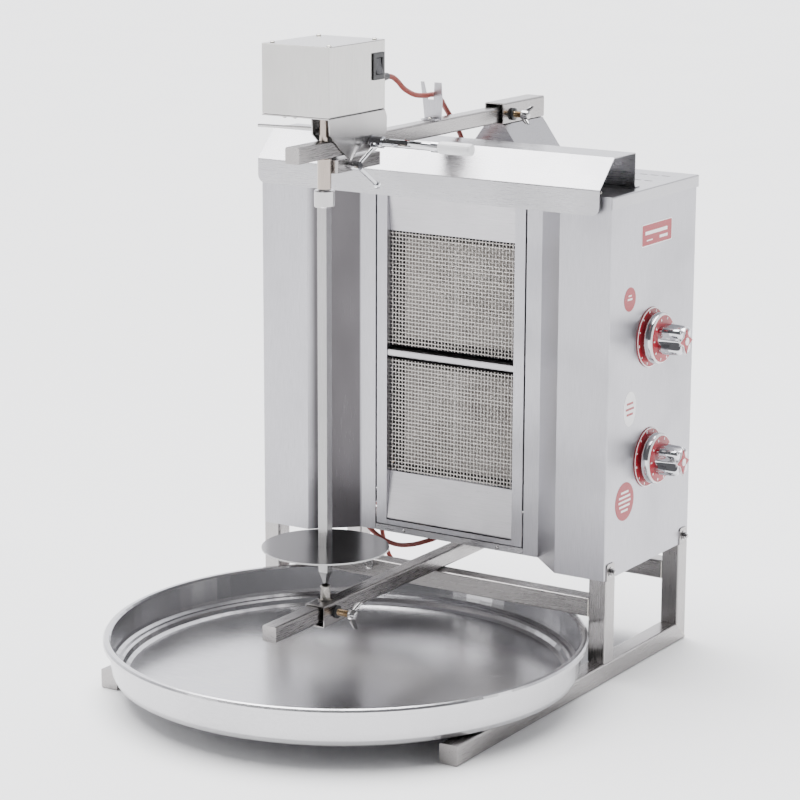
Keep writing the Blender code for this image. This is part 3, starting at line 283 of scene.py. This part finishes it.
FINISH = {
    "left_side_panel": LEFT_SIDE, "right_side_panel": SIDE, "back_panel": SHEET_Z, "bottom_panel": SHEET_X,
    "top_panel": SHEET_X, "hood": SHEET_X, "burner_frame": SHEET_Z, "divider_bar": REFLECTOR,
    "upper_reflector": REFLECTOR, "lower_reflector": REFLECTOR, "sleeve_bracket": SHEET_X,
    "left_runner": TUBE_Y, "right_runner": TUBE_Y, "lower_arm": TUBE_Y, "upper_arm": TUBE_Y,
    "arm_sleeve": TUBE_Y, "bearing_slider": TUBE_Y, "clamp_bar": TUBE_Y, "lower_arm_guide": TUBE_X,
    "front_crossbar": TUBE_X, "rear_crossbar": TUBE_X,
    "front_left_post": TUBE_Z, "front_right_post": TUBE_Z, "rear_left_post": TUBE_Z, "rear_right_post": TUBE_Z,
    "drip_tray": TRAY, "motor_cover": COVER, "head_saddle": SADDLE, "cord_clip": SHEET_Z,
    "lower_burner_box": DARK, "upper_burner_box": DARK, "gear_motor": DARK,
    "lower_tiles": LOWER_CLAY, "upper_tiles": UPPER_CLAY,
    "gas_manifold": BRASS, "lower_gas_valve": BRASS, "upper_gas_valve": BRASS,
    "release_lever": BRIGHT, "clamp_lever": CHROME, "handle_rod": CHROME, "handle_grip": WHITE,
    "drive_shaft": DRIVE_STEEL, "drive_collar": BRIGHT, "spit": SPIT_STEEL, "meat_disk": SPIT_STEEL,
    "bearing_post": NICKEL,
    "switch_bezel": BLACK, "power_rocker": GREY_KEY, "cord_gland": BLACK, "power_plug": BLACK,
    "lower_dial": RED, "upper_dial": RED,
}


def paint(item, material):
    item.data.materials.clear()
    item.data.materials.append(material)


for node_name, material in FINISH.items():
    paint(nodes[node_name], material)

# ---------------------------------------------------------------- shape helpers


def finish_piece(name, bm, material, body, smooth=35, more=()):
    bmesh.ops.recalc_face_normals(bm, faces=bm.faces)
    mesh = bpy.data.meshes.new(name)
    bm.to_mesh(mesh)
    bm.free()
    if smooth is not None:
        mesh.shade_smooth()
        mesh.set_sharp_from_angle(angle=math.radians(smooth))
    item = bpy.data.objects.new(name, mesh)
    bpy.context.scene.collection.objects.link(item)
    for one in (material, *more):
        mesh.materials.append(one)
    if body:
        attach(item, body)
    return item


def basis(direction):
    ahead = Vector(direction).normalized()
    guess = Vector((0, 0, 1)) if abs(ahead.z) < 0.9 else Vector((0, 1, 0))
    side = guess.cross(ahead).normalized()
    return side, ahead.cross(side), ahead


def add_turned(bm, base, direction, profile, segments=20, lobes=0, index=0, phase=0.0):
    """Rings of (distance, radius, lobe depth) along a direction, closed at both ends."""
    side, rise, ahead = basis(direction)
    rings = []
    for entry in profile:
        depth = entry[2] if len(entry) > 2 else 0.0
        ring = []
        for k in range(segments):
            angle = 2 * math.pi * k / segments + phase
            radius = entry[1] - depth * (0.5 - 0.5 * math.cos(lobes * (angle - phase)))
            ring.append(bm.verts.new(Vector(base) + ahead * entry[0]
                                     + side * radius * math.cos(angle) + rise * radius * math.sin(angle)))
        rings.append(ring)
    faces = []
    for low, high in zip(rings, rings[1:]):
        for k in range(segments):
            j = (k + 1) % segments
            faces.append(bm.faces.new((low[k], low[j], high[j], high[k])))
    faces.append(bm.faces.new(rings[0]))
    faces.append(bm.faces.new(rings[-1]))
    for face in faces:
        face.material_index = index
    return faces


def add_tube(bm, points, radius, sides=8, index=0):
    route = [Vector(p) for p in points]
    count = len(route)
    tangents = [(route[min(i + 1, count - 1)] - route[max(i - 1, 0)]).normalized() for i in range(count)]
    side = basis(tangents[0])[0]
    rings = []
    for point, ahead in zip(route, tangents):
        side = (side - ahead * side.dot(ahead)).normalized()
        rise = ahead.cross(side)
        rings.append([bm.verts.new(point + side * radius * math.cos(2 * math.pi * k / sides)
                                   + rise * radius * math.sin(2 * math.pi * k / sides))
                      for k in range(sides)])
    faces = []
    for low, high in zip(rings, rings[1:]):
        for k in range(sides):
            j = (k + 1) % sides
            faces.append(bm.faces.new((low[k], low[j], high[j], high[k])))
    faces.append(bm.faces.new(rings[0]))
    faces.append(bm.faces.new(list(reversed(rings[-1]))))
    for face in faces:
        face.material_index = index


def add_prism(bm, outline, origin, u, v, depth, index=0):
    """Extrude an outline of (u, v) pairs by the depth vector."""
    u, v, depth, origin = Vector(u), Vector(v), Vector(depth), Vector(origin)
    low = [bm.verts.new(origin + u * a + v * b) for a, b in outline]
    high = [bm.verts.new(origin + u * a + v * b + depth) for a, b in outline]
    faces = [bm.faces.new(low), bm.faces.new(list(reversed(high)))]
    for i in range(len(outline)):
        j = (i + 1) % len(outline)
        faces.append(bm.faces.new((low[i], low[j], high[j], high[i])))
    for face in faces:
        face.material_index = index


def ellipse(half_u, half_v, count=36):
    angles = [2 * math.pi * k / count for k in range(count)]
    return [(half_u * math.cos(angle), half_v * math.sin(angle)) for angle in angles]


def block(half_u, half_v, radius, steps=4):
    points = []
    for k, (su, sv) in enumerate(((1, 1), (-1, 1), (-1, -1), (1, -1))):
        for i in range(steps + 1):
            angle = math.pi / 2 * (k + i / steps)
            points.append((su * (half_u - radius) + radius * math.cos(angle),
                           sv * (half_v - radius) + radius * math.sin(angle)))
    return points


# ---------------------------------------------------------------- power cord
CORD_D = 0.0065
GAP = 0.0003
FLOOR_Z = CORD_D / 2 + GAP
CORD_ROUTE = [
    (0.0050, 0.0064, 0.7685), (0.0050, 0.0180, 0.7660), (0.0048, 0.0310, 0.7590), (0.0040, 0.0460, 0.7490),
    (0.0030, 0.0720, 0.7390), (0.0015, 0.1000, 0.7352), (-0.0010, 0.1240, 0.7338),
    (-0.0075, 0.1500, 0.7260), (-0.0140, 0.1750, 0.7100), (-0.0175, 0.2000, 0.6900),
    (-0.0210, 0.2240, 0.6690), (-0.0310, 0.2450, 0.6500), (-0.0490, 0.2620, 0.6375),
    (-0.0680, 0.2830, 0.6330), (-0.0800, 0.3060, 0.6345), (-0.0860, 0.3250, 0.6352),
    (-0.0875, 0.3366, 0.6350), (-0.0880, 0.3469, 0.6329), (-0.0880, 0.3557, 0.6271), (-0.0880, 0.3615, 0.6183),
    (-0.0880, 0.3636, 0.6070), (-0.0880, 0.3632, 0.5850), (-0.0875, 0.3600, 0.5300),
    (-0.0870, 0.3560, 0.4400), (-0.0870, 0.3550, 0.3400), (-0.0870, 0.3550, 0.2400), (-0.0870, 0.3550, 0.1850),
    (-0.0870, 0.3550, 0.1580), (-0.0870, 0.3547, 0.1430), (-0.0870, 0.3525, 0.1322), (-0.0870, 0.3468, 0.1236),
    (-0.0870, 0.3383, 0.1180), (-0.0870, 0.3280, 0.1157), (-0.0872, 0.3178, 0.1135), (-0.0882, 0.3088, 0.1086),
    (-0.0918, 0.3006, 0.1008), (-0.1004, 0.2937, 0.0934), (-0.1135, 0.2902, 0.0878),
    (-0.1350, 0.2900, 0.0800), (-0.1600, 0.2920, 0.0755), (-0.1840, 0.2940, 0.0790),
    (-0.2045, 0.2962, 0.0880), (-0.2160, 0.2990, 0.0955), (-0.2255, 0.3052, 0.1030), (-0.2320, 0.3145, 0.1100),
    (-0.2345, 0.3262, 0.1155), (-0.2350, 0.3380, 0.1176), (-0.2352, 0.3483, 0.1158), (-0.2352, 0.3571, 0.1100),
    (-0.2352, 0.3627, 0.1012), (-0.2350, 0.3646, 0.0905), (-0.2335, 0.3655, 0.0700), (-0.2280, 0.3680, 0.0430),
    (-0.2160, 0.3730, 0.0200), (-0.1950, 0.3815, 0.0075), (-0.1700, 0.3910, FLOOR_Z),
    (-0.1450, 0.3980, FLOOR_Z), (-0.1200, 0.4024, FLOOR_Z),
]
COIL = Vector((-0.090, 0.365, 0))
COIL_TURNS = 3
PLUG_TAIL = (-0.1097, 0.3257, 0.0182)


def smooth_route(points, spacing):
    route = [Vector(p) for p in points]
    ends = [route[0] * 2 - route[1]] + route + [route[-1] * 2 - route[-2]]
    fine = []
    for i in range(1, len(ends) - 2):
        before, start, end, after = ends[i - 1:i + 3]
        for k in range(16):
            t = k / 16
            fine.append(0.5 * ((2 * start) + (end - before) * t
                               + (2 * before - 5 * start + 4 * end - after) * t * t
                               + (3 * start - before - 3 * end + after) * t * t * t))
    fine.append(route[-1])
    total = sum((b - a).length for a, b in zip(fine, fine[1:]))
    count = round(total / spacing)
    result = [fine[0]]
    walked, index = 0.0, 0
    for step in range(1, count):
        wanted = total * step / count
        while walked + (fine[index + 1] - fine[index]).length < wanted:
            walked += (fine[index + 1] - fine[index]).length
            index += 1
        run = fine[index + 1] - fine[index]
        result.append(fine[index] + run * ((wanted - walked) / run.length))
    result.append(fine[-1])
    return result


def eased(share):
    share = max(0.0, min(1.0, share))
    return share * share * (3 - 2 * share)


def coil_points():
    """Turns laid side by side and on each other, then the lead to the plug."""
    first = Vector(CORD_ROUTE[-1]) - COIL
    start = math.atan2(first.y, first.x)
    lanes = [(0.0393, FLOOR_Z), (0.0327, FLOOR_Z), (0.0327, FLOOR_Z + CORD_D), (0.0393, FLOOR_Z + CORD_D)]
    swept_all = 2 * math.pi * COIL_TURNS + start + math.pi / 2
    steps = 72
    points = []
    for k in range(1, steps + 1):
        swept = swept_all * k / steps
        turn = int(swept / (2 * math.pi))
        radius, z = lanes[turn]
        before_r, before_z = (Vector((first.x, first.y)).length, FLOOR_Z) if turn == 0 else lanes[turn - 1]
        ease = eased((swept - 2 * math.pi * turn) / (math.pi / 2))
        reach = before_r + (radius - before_r) * ease
        lift = eased(1 - (swept_all - swept) / (math.pi / 2)) * (PLUG_TAIL[2] - lanes[-1][1])
        here = start - swept
        points.append((COIL.x + reach * math.cos(here), COIL.y + reach * math.sin(here),
                       before_z + (z - before_z) * ease + lift))
    points.append(((COIL.x + PLUG_TAIL[0]) / 2, PLUG_TAIL[1], PLUG_TAIL[2]))
    points.append(PLUG_TAIL)
    return points


def make_cord():
    path = smooth_route(CORD_ROUTE + coil_points(), 0.0045)
    bm = bmesh.new()
    add_tube(bm, path, CORD_D / 2, 12)
    cord = finish_piece("power_cord_full", bm, CORD, None, 60)
    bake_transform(cord)
    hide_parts("power_cord", "cord_coil")
    length = sum((Vector(b) - Vector(a)).length for a, b in zip(path, path[1:]))
    return length


make_cord()

# ---------------------------------------------------------------- burner screens


def make_screen(word):
    """Plain-woven wire cloth over the burner tiles."""
    low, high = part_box(word + "_screen")
    y = (low.y + high.y) / 2
    pitch, wire, wave = 0.0051, 0.00075, 0.0006
    bm = bmesh.new()
    across = int((high.x - low.x - 0.002) / pitch)
    upward = int((high.z - low.z - 0.002) / pitch)
    start_x = (low.x + high.x) / 2 - across * pitch / 2
    start_z = (low.z + high.z) / 2 - upward * pitch / 2
    for i in range(across + 1):
        x = start_x + i * pitch
        points = []
        for j in range(2 * upward + 3):
            z = start_z + (j - 1) * pitch / 2
            side = math.cos(math.pi * (j - 1) / 2) * (1 if i % 2 == 0 else -1)
            points.append((x + dice.uniform(-0.00012, 0.00012), y + wave * side, z))
        add_tube(bm, points, wire, 5)
    for j in range(upward + 1):
        z = start_z + j * pitch
        points = []
        for i in range(2 * across + 3):
            x = start_x + (i - 1) * pitch / 2
            side = -math.cos(math.pi * (i - 1) / 2) * (1 if j % 2 == 0 else -1)
            points.append((x, y + wave * side, z + dice.uniform(-0.00012, 0.00012)))
        add_tube(bm, points, wire, 5)
    screen = finish_piece(word + "_wire_cloth", bm, WIRE, "broiler_body", 60)
    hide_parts(word + "_screen")


make_screen("lower")
make_screen("upper")

# ---------------------------------------------------------------- knobs and dials


def make_dial_marks(word):
    """White rim and tick marks printed on the panel dial."""
    low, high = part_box(word + "_dial")
    centre = Vector((high.x, (low.y + high.y) / 2, (low.z + high.z) / 2))
    bm = bmesh.new()
    outer = (high.z - low.z) / 2
    rim = [(0.0, outer - 0.0016), (0.0003, outer - 0.0016), (0.0003, outer - 0.0002), (0.0, outer - 0.0002)]
    ring = []
    for k in range(48):
        angle = 2 * math.pi * k / 48
        ring.append([bm.verts.new(centre + Vector((x, r * math.cos(angle), r * math.sin(angle))))
                     for x, r in rim])
    for k in range(48):
        here, there = ring[k], ring[(k + 1) % 48]
        for i in range(4):
            j = (i + 1) % 4
            bm.faces.new((here[i], here[j], there[j], there[i]))
    for k in range(12):
        angle = 2 * math.pi * k / 12 + 0.2
        out = Vector((0, math.cos(angle), math.sin(angle)))
        along = Vector((0, -math.sin(angle), math.cos(angle)))
        wide = 0.0011 if k % 3 else 0.0020
        add_prism(bm, [(-wide, 0), (wide, 0), (wide * 0.5, 0.0030), (-wide * 0.5, 0.0030)],
                  centre + out * (outer - 0.0060), along, out, (0.0003, 0, 0))
    finish_piece(word + "_dial_marks", bm, PAPER, "broiler_body", None)


def make_knob(word):
    """Dark skirt, red marked ring, chrome star grip and a four-point cap."""
    low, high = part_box(word + "_knob")
    y, z = (low.y + high.y) / 2, (low.z + high.z) / 2
    base = Vector((0, y, z))
    start = high.x - 0.0466
    bm = bmesh.new()
    add_turned(bm, base, (1, 0, 0), [(start, 0.0325), (start + 0.0008, 0.0330), (start + 0.0085, 0.0330),
                                     (start + 0.0095, 0.0322)], 48, 0, 0)
    add_turned(bm, base, (1, 0, 0),
               [(start + 0.0093, 0.0322), (start + 0.0100, 0.0320), (start + 0.0110, 0.0312)], 48, 0, 2)
    add_turned(bm, base, (1, 0, 0),
               [(start + 0.0108, 0.0302), (start + 0.0118, 0.0298), (start + 0.0122, 0.0230)], 48, 0, 1)
    add_turned(bm, base, (1, 0, 0),
               [(start + 0.0115, 0.0215, 0.0050), (start + 0.0150, 0.0225, 0.0070),
                (start + 0.0270, 0.0222, 0.0085), (start + 0.0385, 0.0215, 0.0090),
                (start + 0.0415, 0.0200, 0.0090), (start + 0.0425, 0.0180, 0.0085)],
               64, 4, 0, math.pi / 4)
    for radius, lift, index in ((0.0180, 0.0436, 2), (0.0160, 0.0446, 1), (0.0048, 0.0454, 2)):
        if index == 2 and radius < 0.01:
            add_turned(bm, base, (1, 0, 0), [(start + 0.0440, radius), (start + lift, radius)], 20, 0, index)
        else:
            star = []
            for k in range(32):
                angle = 2 * math.pi * k / 32
                reach = radius * (1 - 0.52 * abs(math.sin(2 * angle)) ** 0.75)
                star.append((reach * math.cos(angle), reach * math.sin(angle)))
            add_prism(bm, star, base + Vector((start + 0.0420, 0, 0)), (0, 1, 0), (0, 0, 1),
                      (lift - 0.0420, 0, 0), index)
    for k in range(10):
        angle = 2 * math.pi * k / 10
        out = Vector((0, math.cos(angle), math.sin(angle)))
        along = Vector((0, -math.sin(angle), math.cos(angle)))
        add_prism(bm, [(-0.0010, 0), (0.0010, 0), (0.0010, 0.0030), (-0.0010, 0.0030)],
                  base + Vector((start + 0.0118, 0, 0)) + out * 0.0250, along, out, (0.0006, 0, 0), 2)
    knob = finish_piece(word + "_star_knob", bm, CHROME, word + "_knob", 40, (RED, PAPER))
    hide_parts(word + "_knob")


for word in ("lower", "upper"):
    make_dial_marks(word)
    make_knob(word)

# ---------------------------------------------------------------- labels on the side panel


def side_label(name, y, z, outline, material, layers=()):
    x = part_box("right_side_panel")[1].x
    bm = bmesh.new()
    add_prism(bm, outline, (x, y, z), (0, 1, 0), (0, 0, 1), (0.0002, 0, 0), 0)
    for k, (index, shape) in enumerate(layers):
        add_prism(bm, shape, (x + 0.00015, y, z), (0, 1, 0), (0, 0, 1), (0.00012 + 0.00002 * k, 0, 0), index)
    finish_piece(name, bm, material[0], "broiler_body", None, material[1:])


def bar(u, v, half_u, half_v):
    return [(u - half_u, v - half_v), (u + half_u, v - half_v),
            (u + half_u, v + half_v), (u - half_u, v + half_v)]


side_label("red_plate_label", 0.2375, 0.5655, block(0.0415, 0.0145, 0.002), (PAPER, RED),
           [(1, block(0.0402, 0.0132, 0.0015)), (0, bar(-0.002, 0.0025, 0.030, 0.0022)),
            (0, bar(0.018, -0.0060, 0.011, 0.0018)), (0, bar(-0.020, -0.0070, 0.008, 0.0008))])
side_label("small_red_disc", 0.1680, 0.4900, ellipse(0.0155, 0.0155), (RED, PAPER),
           [(1, bar(0.0, 0.0, 0.006, 0.0012)), (1, bar(0.0, 0.0045, 0.004, 0.0010))])
side_label("white_oval_label", 0.1740, 0.3480, ellipse(0.0165, 0.0225, 40), (PAPER, RED),
           [(1, bar(0.0, 0.0070, 0.0085, 0.0014)), (1, bar(0.0, 0.0, 0.0110, 0.0014)),
            (1, bar(0.0, -0.0070, 0.0085, 0.0014))])
side_label("large_red_disc", 0.1650, 0.2290, ellipse(0.0250, 0.0250), (RED, PAPER),
           [(1, bar(0.0, 0.0120, 0.010, 0.0014)), (1, bar(0.0, 0.0060, 0.015, 0.0014)),
            (1, bar(0.0, 0.0, 0.016, 0.0014)), (1, bar(0.0, -0.0060, 0.014, 0.0014)),
            (1, bar(0.0, -0.0120, 0.009, 0.0014))])

# ---------------------------------------------------------------- screws, bolts and small trim


def add_pan_head(bm, base, direction, radius, height, index=0):
    add_turned(bm, base, direction, [(-0.0006, radius), (height * 0.45, radius), (height * 0.85, radius * 0.72),
                                     (height, radius * 0.35)], 16, 0, index)
    side, rise, ahead = basis(direction)
    for turn in (side, rise):
        other = ahead.cross(turn)
        add_prism(bm, bar(0, 0, radius * 0.55, radius * 0.09), Vector(base) + ahead * (height * 0.9),
                  turn, other, ahead * (height * 0.14), index)


def make_small_screws():
    low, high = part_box("motor_cover")
    bm = bmesh.new()
    for x, y in ((low.x + 0.008, low.y + 0.012), (high.x - 0.004, low.y + 0.006),
                 (low.x + 0.008, high.y - 0.012), (high.x - 0.008, high.y - 0.012)):
        add_pan_head(bm, (x, y, high.z), (0, 0, 1), 0.0032, 0.0020)
    finish_piece("cover_screws", bm, NICKEL, "upper_arm_and_head")

    bm = bmesh.new()
    saddle_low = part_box("head_saddle")[1].z - 0.0018
    for x in (-0.055, -0.040):
        add_pan_head(bm, (x, low.y + 0.010, saddle_low), (0, 0, -1), 0.0030, 0.0022)
    finish_piece("saddle_screws", bm, NICKEL, "upper_arm_and_head")

    bm = bmesh.new()
    clip_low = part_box("cord_clip")[0]
    arm_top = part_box("upper_arm")[1].z
    add_pan_head(bm, (0.003, clip_low.y + 0.006, arm_top + 0.0018), (0, 0, 1), 0.0032, 0.0020)
    finish_piece("clip_screw", bm, NICKEL, "upper_arm_and_head")

    bm = bmesh.new()
    hood_low, hood_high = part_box("hood")
    for x in (hood_low.x + 0.0075, hood_high.x - 0.0075):
        add_pan_head(bm, (x, hood_low.y + 0.006 + 0.009, 0.6290), (0, -1, 0), 0.0028, 0.0018)
    for side in (-1, 1):
        for x in (0.09, 0.20):
            add_pan_head(bm, (side * x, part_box("top_panel")[1].y, 0.617), (0, 1, 0), 0.0030, 0.0020)
    finish_piece("panel_screws", bm, NICKEL, "broiler_body")

    bm = bmesh.new()
    for x, z in ((-0.069, 0.1395), (0.076, 0.1390)):
        add_turned(bm, (x, 0.1650, z), (0, -1, 0), [(0, 0.0026), (0.0007, 0.0024), (0.0012, 0.0014)], 14)
    finish_piece("lip_rivets", bm, BRIGHT, "broiler_body")


def make_frame_bolts():
    """Hexagon bolts with washers where the posts' tabs hold the body."""
    bm = bmesh.new()
    for side, word in ((-1, "left"), (1, "right")):
        for place in ("front", "rear"):
            low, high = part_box(place + "_" + word + "_post")
            y, z = (low.y + high.y) / 2, high.z - 0.011
            x = side * max(abs(low.x), abs(high.x)) - side * 0.0002
            ahead = (side, 0, 0)
            add_turned(bm, (x, y, z), ahead, [(-0.0012, 0.0064), (0.0008, 0.0064)], 24, 0, 0)
            add_turned(bm, (x, y, z), ahead, [(0.0008, 0.0047), (0.0036, 0.0047), (0.0042, 0.0038)], 6, 0, 0)
            add_turned(bm, (x, y, z), ahead, [(-0.0080, 0.0029), (0.0060, 0.0029), (0.0066, 0.0022)], 12, 0, 0)
    finish_piece("frame_bolts", bm, BRIGHT, "broiler_body", 30)


def make_welds():
    """Small weld beads at the stand's joints."""
    bm = bmesh.new()
    post_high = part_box("rear_right_post")[1]
    for side in (-1, 1):
        for k in range(16):
            t = k / 15
            y = post_high.y - 0.0008 - t * 0.0234
            z = 0.0022 + t * 0.0216
            x = side * (abs(post_high.x) - 0.0002)
            add_turned(bm, (x, y, z), (side, 0, 0), [(-0.0006, 0.0016), (0.0002, 0.0013), (0.0004, 0.0006)], 8)
        for place in ("front", "rear"):
            bar_low, bar_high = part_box(place + "_crossbar")
            for k in range(14):
                z = bar_low.z + 0.002 + (TUBE_SIDE - 0.004) * k / 13
                x = side * bar_high.x
                add_turned(bm, (x, bar_low.y + 0.0004, z), (side, -0.7, 0),
                           [(-0.0010, 0.0013), (0.0006, 0.0014), (0.0010, 0.0006)], 8)
    finish_piece("weld_beads", bm, NICKEL, "broiler_body")


def make_ring_nut():
    low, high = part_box("front_crossbar")
    centre = Vector((-0.091, low.y, high.z - 0.004))
    bm = bmesh.new()
    add_turned(bm, centre, (0, -1, 0), [(-0.0004, 0.0048), (0.0030, 0.0048), (0.0045, 0.0040)], 16)
    ring = [centre + Vector((0.0075 * math.cos(a), -0.0065, 0.0075 * math.sin(a)))
            for a in [2 * math.pi * k / 20 for k in range(21)]]
    add_tube(bm, ring, 0.0013, 8)
    finish_piece("crossbar_ring_nut", bm, BRIGHT, "broiler_body", 50)


make_small_screws()
make_frame_bolts()
make_welds()
make_ring_nut()

# ---------------------------------------------------------------- wing screws


def make_wing_screw(name, node, body):
    """Black washer, threaded brass shank and a bright wing nut."""
    low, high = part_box(node)
    y, z = (low.y + high.y) / 2, (low.z + high.z) / 2
    base = Vector((0, y, z))
    start, end = low.x, high.x
    length = end - start - 0.0125
    bm = bmesh.new()
    add_turned(bm, base, (1, 0, 0),
               [(start, 0.0082), (start + 0.0030, 0.0082), (start + 0.0034, 0.0076)], 28, 0, 1)
    profile = [(start + 0.0032, 0.0040)]
    threads = int((length - 0.006) / 0.0011)
    for k in range(threads):
        x = start + 0.0040 + k * 0.0011
        profile += [(x, 0.0036), (x + 0.00055, 0.0043)]
    profile.append((start + length - 0.001, 0.0036))
    add_turned(bm, base, (1, 0, 0), profile, 16, 0, 2)
    add_turned(bm, base, (1, 0, 0), [(start + length - 0.0012, 0.0064), (start + length, 0.0068),
                                     (start + length + 0.0045, 0.0062), (start + length + 0.0080, 0.0050),
                                     (start + length + 0.0085, 0.0036)], 24, 0, 0)
    tilt = {"slider_wing_screw": 0.35, "sleeve_wing_screw": 0.5}[node]
    across = Vector((0, math.cos(tilt), -math.sin(tilt)))
    reach = Vector((0, math.sin(tilt), math.cos(tilt)))
    half = 0.0165 if node == "slider_wing_screw" else 0.0125
    for sign in (-1, 1):
        rings = []
        for k in range(9):
            t = k / 8
            centre = (base + Vector((start + length + 0.0025 + 0.0078 * t ** 1.5, 0, 0))
                      + reach * sign * (0.003 + (half - 0.003) * t))
            wide = 0.0046 * math.sqrt(max(0.08, 1 - (t - 0.55) ** 2 * 2.4))
            thick = 0.0016 * (1.25 - 0.5 * t)
            ring = []
            for i in range(10):
                angle = 2 * math.pi * i / 10
                ring.append(bm.verts.new(centre + Vector((wide * math.cos(angle), 0, 0))
                                         + across * thick * math.sin(angle)))
            rings.append(ring)
        for a, b in zip(rings, rings[1:]):
            for i in range(10):
                j = (i + 1) % 10
                bm.faces.new((a[i], a[j], b[j], b[i]))
        bm.faces.new(rings[0])
        bm.faces.new(rings[-1])
    screw = finish_piece(name, bm, BRIGHT, body, 50, (BLACK, BRASS))
    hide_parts(node)


make_wing_screw("slider_wing_nut", "slider_wing_screw", "slider_wing_screw")
make_wing_screw("sleeve_wing_nut", "sleeve_wing_screw", "sleeve_wing_screw")

# ---------------------------------------------------------------- floor and light


def plain_light(name, place, aim, size, power, colour=(1, 1, 1)):
    data = bpy.data.lights.new(name, "AREA")
    data.shape = "RECTANGLE"
    data.size, data.size_y = size
    data.energy = power
    data.color = colour
    light = bpy.data.objects.new(name, data)
    bpy.context.scene.collection.objects.link(light)
    light.location = place
    light.rotation_euler = (Vector(aim) - Vector(place)).to_track_quat("-Z", "Y").to_euler()


def make_studio():
    bm = bmesh.new()
    reach = 14
    corners = [bm.verts.new((x, y, -0.0004))
               for x, y in ((-reach, -reach), (reach, -reach), (reach, reach), (-reach, reach))]
    bm.faces.new(corners)
    floor = finish_piece("studio_floor", bm, floor_material(), None, None)

    world = bpy.data.worlds.new("studio")
    bpy.context.scene.world = world
    world.use_nodes = True
    tree = world.node_tree
    background = tree.nodes["Background"]
    coords = tree.nodes.new("ShaderNodeTexCoord")
    toward = tree.nodes.new("ShaderNodeVectorMath")
    toward.operation = "DOT_PRODUCT"
    tree.links.new(coords.outputs["Generated"], toward.inputs[0])
    toward.inputs[1].default_value = (-0.50, 0.78, 0.30)
    ramp = tree.nodes.new("ShaderNodeMapRange")
    tree.links.new(toward.outputs["Value"], ramp.inputs["Value"])
    for key, value in (("From Min", 0.10), ("From Max", 0.92), ("To Min", 0.22), ("To Max", 2.60)):
        ramp.inputs[key].default_value = value
    tree.links.new(ramp.outputs["Result"], background.inputs["Strength"])
    background.inputs["Color"].default_value = (0.95, 0.955, 1.0, 1)

    data = bpy.data.lights.new("overhead_sun", "SUN")
    data.energy = 8.5
    data.angle = math.radians(60)
    sun = bpy.data.objects.new("overhead_sun", data)
    bpy.context.scene.collection.objects.link(sun)
    sun.rotation_euler = Vector((0.25, -0.10, -1.0)).to_track_quat("-Z", "Y").to_euler()
    plain_light("front_soft", (-2.2, -2.6, 1.8), (0, 0, 0.4), (1.2, 2.0), 28)
    plain_light("right_soft", (3.0, 1.2, 1.6), (0.2, 0.2, 0.4), (1.2, 2.0), 28)


make_studio()
